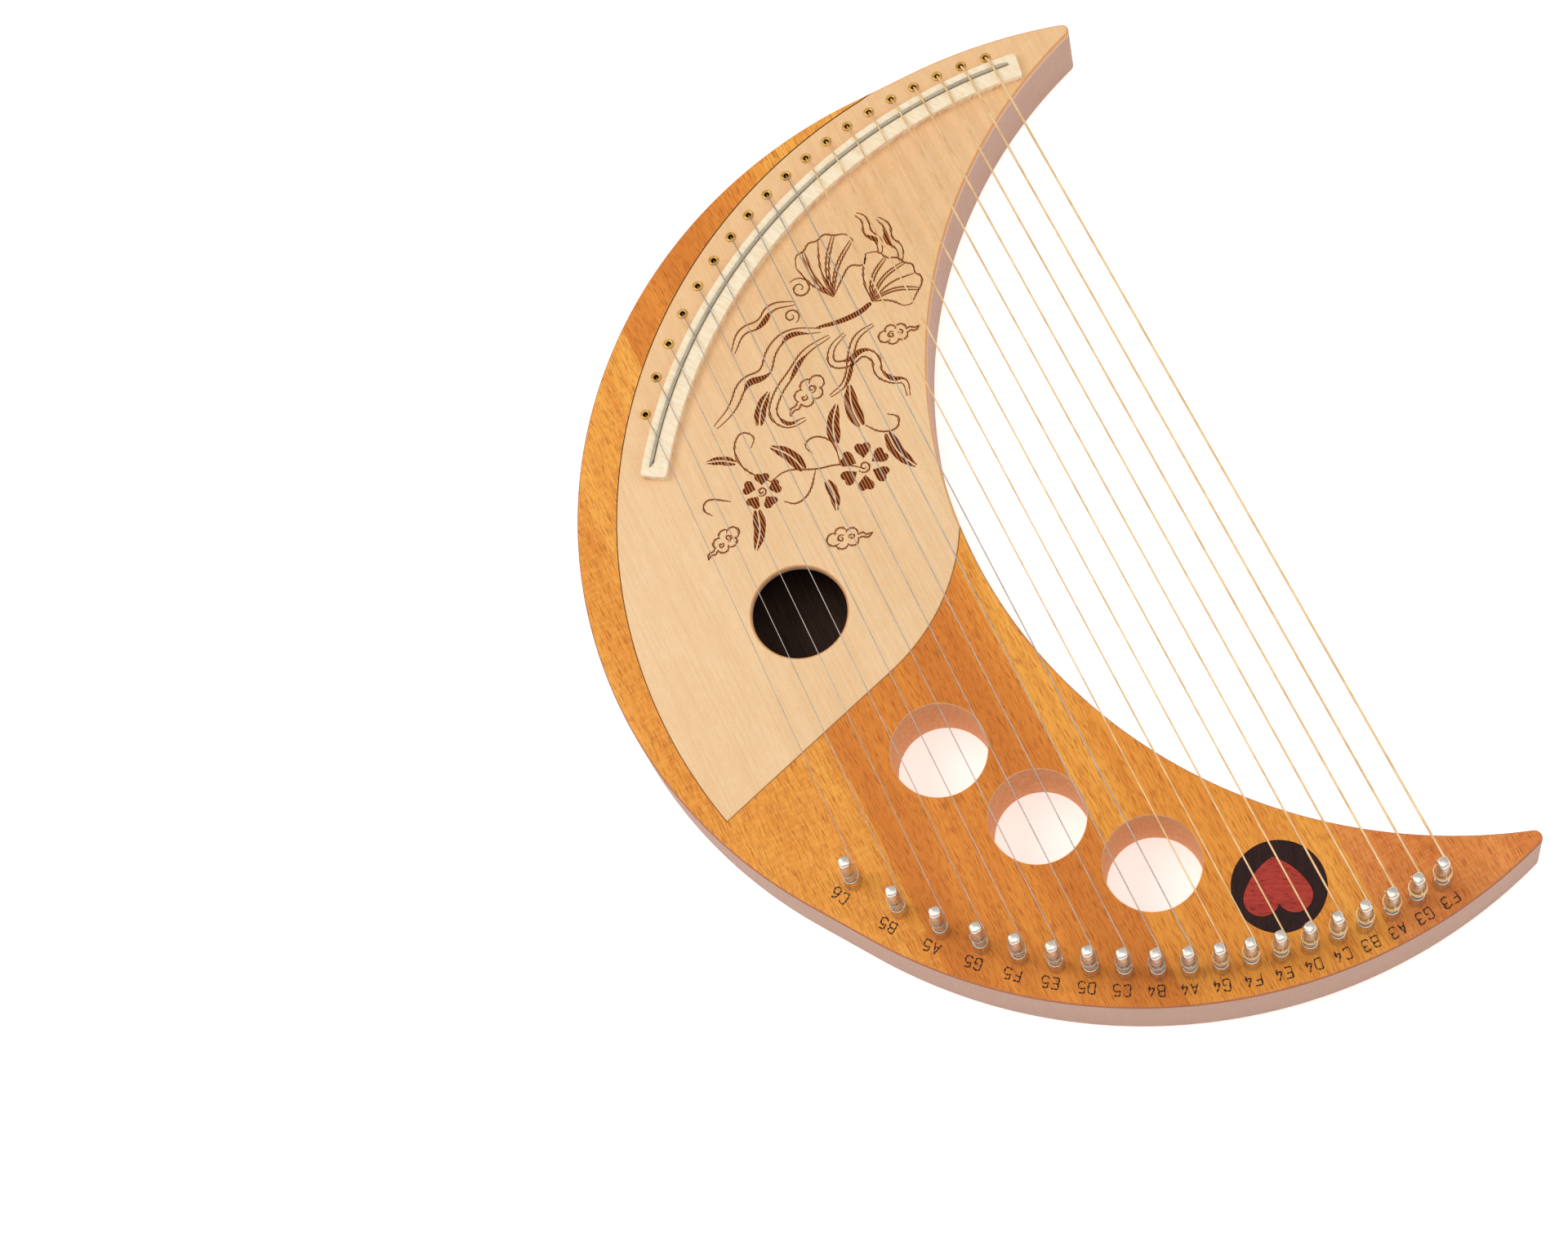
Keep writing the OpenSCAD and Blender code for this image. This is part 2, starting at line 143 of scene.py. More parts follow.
def copied(piece, name):
    """A copy of a piece with a mesh of its own."""
    copy = piece.copy()
    copy.name = name
    copy.data = piece.data.copy()
    return placed(copy)


def piece_of(name, solid):
    """The finished mesh, moved from the maker's drawing to the harp's frame."""
    bmesh.ops.recalc_face_normals(solid, faces=solid.faces)
    mesh = bpy.data.meshes.new(name)
    solid.to_mesh(mesh)
    solid.free()
    mesh.transform(to_frame)
    return placed(bpy.data.objects.new(name, mesh))


def slab(name, loops, low, high, over=0.0, under=0.0):
    """A flat solid between two heights. The first loop is its outline and the others are
    holes. Its upper and lower edges are rounded by over and under."""
    quarter = [math.pi / 10 * k for k in range(6)]
    rings = [(0, low)]
    if under:
        rings = [(under * (1 - math.sin(t)), low + under * (1 - math.cos(t))) for t in quarter]
    if over:
        rings += [(over * (1 - math.cos(t)), high - over * (1 - math.sin(t))) for t in quarter]
    else:
        rings.append((0, high))
    solid = bmesh.new()
    rims = ([], [])
    for number, loop in enumerate(loops):
        loop = distinct(loop)
        area = sum(a[0] * b[1] - b[0] * a[1] for a, b in zip(loop, loop[1:] + loop[:1]))
        if (area > 0) != (number == 0):
            loop.reverse()
        levels = [
            [solid.verts.new((p.x, p.y, z)) for p in inward(loop, inset)] for inset, z in rings
        ]
        for lower, upper in zip(levels, levels[1:]):
            for k in range(len(loop)):
                solid.faces.new((lower[k - 1], lower[k], upper[k], upper[k - 1]))
        rims[0].append(levels[0])
        rims[1].append(levels[-1])
    for rim in rims:
        flat = [v for loop in rim for v in loop]
        for corners in tessellate_polygon([[v.co for v in loop] for loop in rim]):
            solid.faces.new([flat[k] for k in corners])
    return piece_of(name, solid)


def skin(solid, rings):
    """Faces from each ring to the next. A ring may be a single point."""
    for lower, upper in zip(rings, rings[1:]):
        for k in range(max(len(lower), len(upper))):
            corners = (
                lower[k % len(lower)], lower[(k + 1) % len(lower)],
                upper[(k + 1) % len(upper)], upper[k % len(upper)],
            )
            solid.faces.new(list(dict.fromkeys(corners)))


def lathe(name, centres, profile, bored=False, sides=48):
    """Turned pieces on upright axes. The profile is (radius, height) points from the bottom
    up, and a bored piece's profile closes on itself round the bore."""
    solid = bmesh.new()
    for x, y in centres:
        rings = []
        for radius, z in profile:
            spots = [polar((x, y), radius, 360 * k / sides) for k in range(sides if radius else 1)]
            rings.append([solid.verts.new((*spot, z)) for spot in spots])
        skin(solid, rings + rings[:1] if bored else rings)
    return piece_of(name, solid)


def carve(piece, tool, operation="DIFFERENCE"):
    """Cuts one solid with another and keeps the result as the piece's own mesh."""
    cutting = piece.modifiers.new("cut", "BOOLEAN")
    cutting.operation = operation
    cutting.solver = "EXACT"
    cutting.material_mode = "TRANSFER"
    cutting.object = tool
    depsgraph = bpy.context.evaluated_depsgraph_get()
    shaped = bpy.data.meshes.new_from_object(piece.evaluated_get(depsgraph))
    piece.modifiers.clear()
    solid = bmesh.new()
    solid.from_mesh(shaped)
    bmesh.ops.remove_doubles(solid, verts=solid.verts, dist=0.002 * MM)
    bmesh.ops.dissolve_degenerate(solid, edges=solid.edges, dist=0.001 * MM)
    solid.to_mesh(shaped)
    solid.free()
    piece.data = shaped


def fit(piece, finish, body="root", corner=32):
    """Shades a piece smooth between its corners, finishes it and fixes it to its body."""
    piece.data.shade_smooth()
    piece.data.set_sharp_from_angle(angle=math.radians(corner))
    piece.modifiers.new("even shading", "WEIGHTED_NORMAL").keep_sharp = True
    if piece.data.materials:
        piece.data.materials[0] = finish
    else:
        piece.data.materials.append(finish)
    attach(piece, body)
    return piece


class Finish:
    """One socket of a finish's nodes. Sums and products of these add Math nodes."""

    def __init__(self, tree, socket=None):
        self.tree = tree
        self.socket = socket

    def node(self, kind, settings=None, inputs=None, output=0):
        made = self.tree.nodes.new("ShaderNode" + kind)
        for name, value in (settings or {}).items():
            setattr(made, name, value)
        for name, value in (inputs or {}).items():
            if isinstance(value, Finish):
                self.tree.links.new(value.socket, made.inputs[name])
            else:
                made.inputs[name].default_value = value
        return Finish(self.tree, made.outputs[output] if made.outputs else None)

    def math(self, operation, first, second=0.0):
        return self.node("Math", {"operation": operation}, {0: first, 1: second})

    def __add__(self, other):
        return self.math("ADD", self, other)

    __radd__ = __add__

    def __sub__(self, other):
        return self.math("SUBTRACT", self, other)

    def __rsub__(self, other):
        return self.math("SUBTRACT", other, self)

    def __mul__(self, other):
        return self.math("MULTIPLY", self, other)

    __rmul__ = __mul__

    def above(self, level, soft):
        """1 where this is over the level, 0 where it is under, with a soft step between."""
        return self.node(
            "MapRange", {"interpolation_type": "SMOOTHSTEP"},
            {"Value": self, "From Min": level - soft, "From Max": level + soft},
        )

    def mix(self, colour, other):
        """The first colour where this is 0 and the other where it is 1."""
        return self.node("Mix", {"data_type": "RGBA"}, {0: self, 6: colour, 7: other}, 2)

    def stretched(self, x, y, z):
        return self.node("VectorMath", {"operation": "MULTIPLY"}, {0: self, 1: (x, y, z)})

    def shifted(self, x, y, z):
        return self.node("VectorMath", {"operation": "ADD"}, {0: self, 1: (x, y, z)})

    def noise(self, scale, detail=2.0, roughness=0.5, distortion=0.0):
        return self.node("TexNoise", {}, {
            "Vector": self, "Scale": scale, "Detail": detail,
            "Roughness": roughness, "Distortion": distortion,
        })

    def axis(self, number):
        return self.node("SeparateXYZ", {}, {0: self}, number)

    def bump(self, depth, strength=1.0):
        return self.node("Bump", {}, {"Height": self, "Distance": depth, "Strength": strength})


def paint(red, green, blue):
    """A colour from its everyday 0 to 255 numbers."""
    def linear(value):
        value /= 255
        return value / 12.92 if value <= 0.04045 else ((value + 0.055) / 1.055) ** 2.4
    return (linear(red), linear(green), linear(blue), 1.0)


def coated(colour, *coats):
    """A colour with each coat, a mask and its colour, laid over it in turn."""
    for mask, coat in coats:
        colour = mask.mix(colour, coat)
    return colour


def start_finish(name):
    """A new material, and the place on the piece that its patterns are drawn from."""
    material = bpy.data.materials.new(name)
    material.use_nodes = True
    material.node_tree.nodes.clear()
    return material, Finish(material.node_tree).node("TexCoord", output="Object")


def end_finish(material, sockets):
    shader = Finish(material.node_tree).node("BsdfPrincipled", {}, sockets)
    shader.node("OutputMaterial", {}, {"Surface": shader})
    return material


def mahogany(name, light, dark, figure, seed):
    """Open-pored wood with its grain along Y. Stained on the face and the back, redder where
    the edge is rounded, and pinkish on the sawn walls."""
    material, place = start_finish(name)
    wood = place.shifted(seed, seed * 0.7, 0)
    broad = wood.stretched(1, 0.06, 1).noise(52, 3, 0.6)
    bands = wood.stretched(1, 0.04, 1).noise(260, 3, 0.6)
    streaks = wood.stretched(1, 0.03, 1).noise(1300, 3, 0.6)
    ripple = wood.stretched(0.2, 1, 0.2).noise(760, 2, 0.5)
    pores = wood.stretched(1, 0.075, 1).noise(2600, 1, 0.4).above(0.6, 0.07)
    stained = coated(
        light, (broad.above(0.5, 0.2), dark), (bands.above(0.5, 0.2) * 0.45, dark),
        (streaks.above(0.54, 0.12) * 0.42, paint(204, 108, 34)),
        (ripple.above(0.55, 0.14) * figure, paint(255, 192, 96)),
        (pores * 0.5, paint(150, 66, 20)),
    )
    sawn = coated(
        paint(194, 158, 140), (streaks.above(0.5, 0.25) * 0.4, paint(174, 137, 119)),
        (broad.above(0.5, 0.2) * 0.4, paint(186, 144, 125)), (pores * 0.25, paint(140, 96, 78)),
    )
    height = place.axis(2)
    shown = height.above((body_h - 0.35) * MM, 0.25 * MM) + (1 - height.above(0.5 * MM, 0.3 * MM))
    edge = height.above((body_h - 1.35) * MM, 0.3 * MM) * (1 - shown)
    colour = coated(sawn, (shown, stained), (edge * 0.85, paint(176, 92, 46)))
    relief = (streaks * 0.5 + ripple * 0.2 - pores).bump(0.0001, 0.4)
    roughness = 0.6 - shown * 0.16 + pores * 0.15 + streaks * 0.08
    return end_finish(material, {
        "Base Color": colour, "Roughness": roughness, "Normal": relief,
        "Specular IOR Level": 0.2, "Coat Weight": shown * 0.05, "Coat Roughness": 0.4,
    })


def routed_wood(name, light, dark):
    """Bare wood left by a cutter, its marks running round the wall. Its two colours are given: near-black
    as painted shade for the chamber and the holes, and an orange lightened with painted light for the
    ports.
    """
    material, place = start_finish(name)
    grain = place.stretched(1, 0.06, 1).noise(700, 3, 0.6)
    marks = place.stretched(0.2, 0.2, 1).noise(1100, 2, 0.6)
    colour = coated(light, (grain.above(0.5, 0.2), dark), (marks.above(0.55, 0.12) * 0.25, dark))
    return end_finish(material, {
        "Base Color": colour, "Roughness": 0.72 + marks * 0.1,
        "Normal": (grain * 0.5 + marks).bump(0.00012, 0.4), "Specular IOR Level": 0.25,
    })


def joined(*runs):
    return [point for run in runs for point in run]


axis = bearing(OUTER_C, BELLY_C)
spread = math.degrees(math.acos((OUTER_R - BELLY_R) / math.dist(OUTER_C, BELLY_C)))
lower_tip, upper_tip = [
    crossing(GAP_C, GAP_R + TIP_R, OUTER_C, OUTER_R - TIP_R, side) for side in (-1, 1)
]
crescent = joined(
    arc(OUTER_C, OUTER_R, bearing(OUTER_C, lower_tip), axis - spread),
    arc(BELLY_C, BELLY_R, axis - spread, axis + spread),
    arc(OUTER_C, OUTER_R, axis + spread, bearing(OUTER_C, upper_tip)),
    arc(upper_tip, TIP_R, bearing(OUTER_C, upper_tip), bearing(upper_tip, GAP_C) + 360),
    arc(GAP_C, GAP_R, bearing(GAP_C, upper_tip), bearing(GAP_C, lower_tip)),
    arc(lower_tip, TIP_R, bearing(lower_tip, GAP_C), bearing(OUTER_C, lower_tip) + 360),
)
port_cs = [polar(PORT_ARC_C, PORT_ARC_R, turn) for turn in PORT_BEARINGS]

# The face plate's outline. It runs past the wood at both horn edges, where the crescent ends it.
shoulder = polar(SHOULDER_C, SHOULDER_R, 90 + SHOULDER_SLOPE)
plate_corner = run_to_circle(shoulder, SHOULDER_SLOPE, OUTER_C, OUTER_R)
plate_outline = joined(
    arc(OUTER_C, OUTER_R + 4, -112, -92),
    arc(OUTER_C, OUTER_R, RIM_STARTS, bearing(OUTER_C, plate_corner)),
    arc(SHOULDER_C, SHOULDER_R, 90 + SHOULDER_SLOPE, 165),
    [(60, -100), (0, -170), (-12, -185)],
)

CHAMBER_RIM = 14.5
CHAMBER_INSET = 12
CHAMBER_STARTS = 74
CHAMBER_TOP = 30           # opens into the rebate for the face plate


def chamber(grow):
    """The outline of the space behind the face plate, moved outwards by grow."""
    outer_r = OUTER_R - CHAMBER_RIM + grow
    gap_r = GAP_R + CHAMBER_INSET - grow
    top_r = SHOULDER_R - CHAMBER_INSET + grow
    end_x = CHAMBER_STARTS - grow
    turn = polar(SHOULDER_C, top_r, 90 + SHOULDER_SLOPE)
    corner = run_to_circle(turn, SHOULDER_SLOPE, OUTER_C, outer_r)
    neck = crossing(GAP_C, gap_r, SHOULDER_C, top_r, 1)
    outer_end = -math.degrees(math.acos((end_x - OUTER_C[0]) / outer_r))
    gap_end = -math.degrees(math.acos((end_x - GAP_C[0]) / gap_r))
    return joined(
        arc(OUTER_C, outer_r, outer_end, bearing(OUTER_C, corner)),
        arc(SHOULDER_C, top_r, 90 + SHOULDER_SLOPE, bearing(SHOULDER_C, neck)),
        arc(GAP_C, gap_r, bearing(GAP_C, neck), gap_end),
    )


# String holes through the lower arm, and pin holes in the upper one
FERRULE_PITCH = 10.67
FIRST_FERRULE = 36.8
FERRULE_INSET = 6.9
PIN_HOLE = (
    (0, 11.7), (2.6, 11.7), (2.6, 24), (3.15, 24), (3.15, OVER_ALL), (0, OVER_ALL)
)
STRING_HOLE = (
    (0, UNDER_ALL), (2, UNDER_ALL), (2, 4.2), (1, 4.8), (1, 25.9), (1.65, 25.9),
    (1.65, OVER_ALL), (0, OVER_ALL),
)
PORT_EASE = 0.3
PORT_FLARE = 6             # how far the hole saw opens out, clear of the wood
PORT_OVER = 37
PORT_CUT = (
    (0, UNDER_ALL), (PORT_R + PORT_FLARE, UNDER_ALL), (PORT_R + PORT_EASE, 0),
    (PORT_R, PORT_EASE), (PORT_R, body_h - PORT_EASE), (PORT_R + PORT_EASE, body_h),
    (PORT_R + PORT_FLARE, PORT_OVER), (0, PORT_OVER),
)
INLAY_BEARING = 57.9
INLAY_R = 18.1
INLAY_H = 2

notes = [joint["name"].removeprefix("turn_") for joint in frame["joints"]]
pin_cs = [
    (joint["pos_m"][0] / MM - horn_x, joint["pos_m"][1] / MM) for joint in frame["joints"]
]
ferrule_cs = []
for k in range(STRINGS):
    x = FIRST_FERRULE + FERRULE_PITCH * k
    ferrule_cs.append((x, -math.sqrt((OUTER_R - FERRULE_INSET) ** 2 - (x - OUTER_C[0]) ** 2)))
inlay_c = polar(PORT_ARC_C, PORT_ARC_R, INLAY_BEARING)

blank = slab("blank", [crescent], 0, body_h, EDGE_ROUND, EDGE_ROUND)
tools = [
    slab("rebate", [plate_outline], body_h - PLATE_H, OVER_ALL),
    slab("chamber", [chamber(0)], UNDER_ALL, CHAMBER_TOP),
    slab("ledge", [chamber(LEDGE_W)], UNDER_ALL, PANEL_H),
    lathe("hole saw", port_cs, PORT_CUT, sides=96),
    lathe("pin drill", pin_cs, PIN_HOLE, sides=24),
    lathe("string drill", ferrule_cs, STRING_HOLE, sides=24),
    lathe("inlay cutter", [inlay_c], (
        (0, body_h - INLAY_H), (INLAY_R + GLUE_FILM, body_h - INLAY_H),
        (INLAY_R + GLUE_FILM, OVER_ALL), (0, OVER_ALL),
    ), sides=96),
]
blank.data.materials.append(bpy.data.materials.new("stain"))   # each board's own comes later
# The chamber, its ledge, the rebate and the drilled holes are coloured near-black: painted shade for the
# dark inside of the chamber and of the holes.
painted_shade = routed_wood("painted_shade_wood", paint(66, 42, 30), paint(46, 28, 20))
# The ports' walls are orange like the bare wood, and lightened well past it as painted light against the
# shade inside the ports.
port_wood_lit = routed_wood("port_wood_with_painted_light", paint(240, 186, 138), paint(222, 164, 116))
for tool in tools:
    tool.data.materials.append(port_wood_lit if tool.name == "hole saw" else painted_shade)
    carve(blank, tool)

arm_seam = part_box("arm_board_upper")[1].x / MM - horn_x
belly_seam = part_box("belly_board_inner")[1].x / MM - horn_x
AMBER = (paint(255, 184, 80), paint(234, 150, 54))
RUST = (paint(240, 154, 80), paint(216, 124, 58))
TAWNY = (paint(240, 152, 58), paint(212, 122, 42))
BEFORE_TIPS = -10
PAST_BELLY = 310
BOARDS = (
    # node, the seams and the sides it lies between, its stain, how rippled it is
    ("horn_tip_upper", (BEFORE_TIPS, FIRST_SEAM), (0, FAR), RUST, 0.16),
    ("arm_board_upper", (FIRST_SEAM, arm_seam), (0, FAR), AMBER, 0.03),
    ("belly_board_inner", (arm_seam, belly_seam), (-FAR, FAR), TAWNY, 0.04),
    ("belly_board_outer", (belly_seam, PAST_BELLY), (-FAR, FAR), AMBER, 0.25),
    ("arm_board_lower", (FIRST_SEAM, arm_seam), (-FAR, 0), AMBER, 0.16),
    ("horn_tip_lower", (BEFORE_TIPS, FIRST_SEAM), (-FAR, 0), RUST, 0.16),
)
for seed, (node, (x0, x1), (y0, y1), stain, figure) in enumerate(BOARDS):
    board = copied(blank, node + "_wood")
    between = slab("between", [[(x0, y0), (x1, y0), (x1, y1), (x0, y1)]], UNDER_ALL, OVER_ALL)
    carve(board, between, "INTERSECT")
    bpy.data.objects.remove(between)
    fit(board, mahogany(node + "_mahogany", *stain, figure, seed * 0.31))
    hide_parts(node)

# ------------------------------------------------------------------ face plate
# A 3 mm plate of pale, straight-grained wood let in flush. It ends at the shoulder curve and
# runs out to the inner edge and the lower horn. The sound hole is sawn through it alone.
SOUND_HOLE_C = (209.5, -16.7)
PLATE_EASE = 0.8


def pale_wood(name, light, dark, line, walls):
    """Close-grained wood with its growth lines along Y, cloudy patches and faint flecks."""
    material, place = start_finish(name)
    lines = place.stretched(1, 0.02, 1).noise(900, 3, 0.6)
    broad = place.stretched(1, 0.35, 1).noise(30, 3, 0.6)
    cloudy = place.stretched(1, 0.6, 1).noise(210, 3, 0.6)
    fleck = place.stretched(0.4, 1, 0.4).noise(1100, 2, 0.6)
    fibre = place.stretched(1, 0.06, 1).noise(3000, 2, 0.5)
    far = 1 - place.axis(1).above(-125 * MM, 50 * MM)
    colour = coated(
        light, (broad.above(0.5, 0.25), dark), (far * 0.55, paint(237, 186, 128)),
        (cloudy.above(0.52, 0.2) * 0.3, paint(247, 214, 170)),
        (lines.above(0.54, 0.14) * 0.2, line),
        (fleck.above(0.58, 0.12) * 0.14, paint(255, 228, 184)),
        (fibre.above(0.56, 0.12) * 0.16, line),
    )
    height = place.axis(2)
    wall = 1 - height.above((body_h - 1.3) * MM, 0.25 * MM)
    edge = (1 - height.above((body_h - 0.12) * MM, 0.1 * MM)) * (1 - wall)
    if walls:
        colour = coated(colour, (edge * 0.75, paint(212, 142, 78)), (wall, paint(206, 168, 150)))
    relief = (lines * 0.6 + fibre * 0.5).bump(0.00006, 0.3)
    return end_finish(material, {
        "Base Color": colour, "Roughness": 0.5 + fibre * 0.12, "Normal": relief,
        "Specular IOR Level": 0.3, "Coat Weight": 0.06, "Coat Roughness": 0.4,
    })


plate = slab(
    "face_plate", [crescent, arc(SOUND_HOLE_C, PORT_R, 0, 356)], 0, body_h, EDGE_ROUND, 0
)
plate_tool = slab(
    "plate tool", [inward(plate_outline, GLUE_FILM)], body_h - PLATE_H, body_h + 0.02, PLATE_EASE
)
carve(plate, plate_tool, "INTERSECT")
carve(plate, bpy.data.objects["string drill"])
for tool in (*tools, plate_tool, blank):
    bpy.data.objects.remove(tool)
face_wood = pale_wood(
    "face_maple", paint(245, 206, 158), paint(239, 197, 146), paint(208, 156, 104), True
)
fit(plate, face_wood)
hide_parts("soundboard")

# ------------------------------------------------------------------ back panel and braces
# A thin mahogany panel let in on the ledge closes the chamber from behind. Two planed bars
# are glued across the grain under the face plate.
PANEL_PLAY = 0.15
PANEL_EASE = 0.25
panel_line = inward(distinct(chamber(LEDGE_W)), PANEL_PLAY)
panel = slab("back_panel_wood", [panel_line], 0, PANEL_H, 0, PANEL_EASE)
fit(panel, mahogany("panel_mahogany", *AMBER, 0.1, 2.3))
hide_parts("back_panel")
# The panel's upper face, inside the chamber, takes the near-black painted shade colour.
panel.data.materials.append(painted_shade)
for side in panel.data.polygons:
    side.material_index = int(side.center.z > (PANEL_H - 0.1) * MM)

brace_wood = pale_wood(
    "brace_spruce", paint(236, 204, 150), paint(226, 188, 130), paint(202, 152, 92), False
)
for node in ("brace_upper", "brace_lower"):
    brace = frame["nodes"][node]
    brace.data.materials.clear()
    brace.data.materials.append(brace_wood)

# ------------------------------------------------------------------ inlay
# A disc of dark wood is let into the upper arm, and a heart of red wood into the disc. Both
# are sanded flush, with a hair of filler round them.
HEART_H = 1
INLAY_EASE = 0.12
HEART_TURN = -19.8
HEART_TIP = (-3.2, -11.6)
LOBE_C = (6.3, 16)
LOBE_R = 6.9
FLANK_R = 26


def heart_outline():
    """Two lobes and two flank arcs that meet them smoothly, its tip at the origin."""
    flank_c = crossing((0, 0), FLANK_R, LOBE_C, FLANK_R - LOBE_R, 1)
    notch = crossing((-LOBE_C[0], LOBE_C[1]), LOBE_R, LOBE_C, LOBE_R, 1)
    lobe_end = bearing(flank_c, LOBE_C)
    right = joined(
        arc(flank_c, FLANK_R, bearing(flank_c, (0, 0)), lobe_end),
        arc(LOBE_C, LOBE_R, lobe_end, bearing(LOBE_C, notch)),
    )
    left = [(-x, y) for x, y in reversed(right)]
    turn = math.radians(HEART_TURN)
    tip = (inlay_c[0] + HEART_TIP[0], inlay_c[1] + HEART_TIP[1])
    return [
        (
            tip[0] + x * math.cos(turn) - y * math.sin(turn),
            tip[1] + x * math.sin(turn) + y * math.cos(turn),
        )
        for x, y in joined(right, left[1:-1])
    ]


def inlay_wood(name, light, dark, pore, turned):
    """Fine, even wood, its grain turned from Y by an angle."""
    material, place = start_finish(name)
    wood = place.node(
        "Mapping", {}, {"Vector": place, "Rotation": (0, 0, math.radians(turned))}
    )
    grain = wood.stretched(1, 0.08, 1).noise(480, 4, 0.65, 0.4)
    pores = wood.stretched(1, 0.15, 1).noise(2100, 1, 0.4).above(0.63, 0.05)
    colour = coated(light, (grain.above(0.5, 0.2), dark), (pores * 0.7, pore))
    return end_finish(material, {
        "Base Color": colour, "Roughness": 0.42 + pores * 0.2,
        "Normal": (grain * 0.5 - pores).bump(0.0001, 0.4),
        "Specular IOR Level": 0.16, "Coat Weight": 0.02, "Coat Roughness": 0.35,
    })


heart_line = heart_outline()
disc = slab(
    "inlay_disc_wood", [arc(inlay_c, INLAY_R, 0, 356)], body_h - INLAY_H, body_h, INLAY_EASE, 0
)
pocket = slab("pocket", [heart_line], body_h - HEART_H, OVER_ALL)
carve(disc, pocket)
bpy.data.objects.remove(pocket)
fit(disc, inlay_wood("dark_wood", paint(50, 25, 20), paint(36, 16, 14), paint(24, 10, 10), 24))
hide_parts("inlay_disc")

heart = slab(
    "inlay_heart_wood", [inward(heart_line, GLUE_FILM)], body_h - HEART_H, body_h, INLAY_EASE, 0
)
fit(heart, inlay_wood("red_wood", paint(186, 66, 52), paint(164, 52, 44), paint(112, 28, 26), -62))
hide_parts("inlay_heart")

# ------------------------------------------------------------------ burned ornament
# Ribbons, pleats, curled clouds, leaves and blossoms burned into the face plate with a hot
# point that scans along the grain, so that dark areas are finely striped and lines toothed.
# Plain ornament of the maker's own.
BURN_DEEP = 0.03
BURN_PROUD = 0.035       # the lifted, blistered surface
BURN_STEP = 0.0011       # crossing lines lie at slightly different heights
BURN_STEPS = 11
BURN_W = 0.78
BURN_PITCH = 1.25        # the scanning point's rows run along the grain this far apart
BURN_TOOTH = 0.42        # how much a line swells at each row
BURN_PACE = 0.3


def eased(points, rounds=3):
    """The line with its corners cut again and again until it flows."""
    for _ in range(rounds):
        cut = [points[0]]
        for (ax, ay), (bx, by) in zip(points, points[1:]):
            cut.append((ax * 0.75 + bx * 0.25, ay * 0.75 + by * 0.25))
            cut.append((ax * 0.25 + bx * 0.75, ay * 0.25 + by * 0.75))
        points = cut + [points[-1]]
    return points


def paced(stroke):
    """The line with its points about BURN_PACE apart, so that it can swell and shrink."""
    made = [stroke[0]]
    for (ax, ay), (bx, by) in zip(stroke, stroke[1:]):
        steps = round(math.dist((ax, ay), (bx, by)) / BURN_PACE) or 1
        for k in range(1, steps + 1):
            point = (ax + (bx - ax) * k / steps, ay + (by - ay) * k / steps)
            if math.dist(point, made[-1]) > 0.05:
                made.append(point)
    return made


def burned(name, strokes, width, taper, patches=()):
    """Each stroke as a thin closed band in the surface, narrower at its ends by taper, and
    each patch as a thin closed plate."""
    low = body_h - BURN_DEEP
    solid = bmesh.new()
    for number, stroke in enumerate(strokes):
        high = body_h + BURN_PROUD + BURN_STEP * (number % BURN_STEPS)
        stroke = paced(stroke)
        last = len(stroke) - 1
        bands = []
        for k, (x, y) in enumerate(stroke):
            ahead = Vector(stroke[min(k + 1, last)]) - Vector(stroke[max(k - 1, 0)])
            side = Vector((-ahead.y, ahead.x)).normalized()
            full = min(1, min(k, last - k) / max(1, last * 0.25))
            tooth = 1 + BURN_TOOTH * math.sin(2 * math.pi * x / BURN_PITCH)
            side *= width / 2 * tooth * (1 - taper * (1 - full))
            bands.append([solid.verts.new(corner) for corner in (
                (x + side.x, y + side.y, low), (x - side.x, y - side.y, low),
                (x - side.x, y - side.y, high), (x + side.x, y + side.y, high),
            )])
        for here, there in zip(bands, bands[1:]):
            for k in range(4):
                solid.faces.new((here[k - 1], here[k], there[k], there[k - 1]))
        solid.faces.new(bands[0])
        solid.faces.new(bands[-1])
    for number, patch in enumerate(patches):
        high = body_h + BURN_PROUD - BURN_STEP * (1 + number % BURN_STEPS)
        patch = [p for k, p in enumerate(patch) if math.dist(p, patch[k - 1]) > 0.03]
        rims = [[solid.verts.new((*p, z)) for p in patch] for z in (low, high)]
        for k in range(len(patch)):
            solid.faces.new((rims[0][k - 1], rims[0][k], rims[1][k], rims[1][k - 1]))
        for rim in rims:
            for corners in tessellate_polygon([[v.co for v in rim]]):
                solid.faces.new([rim[k] for k in corners])
    return piece_of(name, solid)


def volute(centre, start_r, end_r, start, sweep):
    steps = math.ceil(abs(sweep) / 12)
    return [
        polar(centre, start_r + (end_r - start_r) * k / steps, start + sweep * k / steps)
        for k in range(steps + 1)
    ]


def beside(line, offset):
    """A copy of a line moved sideways, the offset given for each share of its length."""
    last = len(line) - 1
    moved = []
    for k, (x, y) in enumerate(line):
        ahead = Vector(line[min(k + 1, last)]) - Vector(line[max(k - 1, 0)])
        side = Vector((-ahead.y, ahead.x)).normalized() * offset(k / last)
        moved.append((x + side.x, y + side.y))
    return moved


def ribbon(points, wide, shaded):
    """A ribbon's two edges, pinched at its ends, and a dark fold for each (from, to) pair."""
    line = eased(points)
    def half(share):
        return wide / 2 * math.sin(math.pi * (0.1 + 0.8 * share))
    edges = [beside(line, half), beside(line, lambda share: -half(share))]
    folds = []
    for start, end in shaded:
        first, last = [round(share * (len(line) - 1)) for share in (start, end)]
        span = max(1, last - first)
        inner = [
            tuple(Vector(edges[0][k]).lerp(
                Vector(edges[1][k]), 0.62 * math.sin(math.pi * (k - first) / span)))
            for k in range(first, last + 1)
        ]
        folds.append(edges[0][first:last + 1] + inner[-2:0:-1])
    return edges, folds


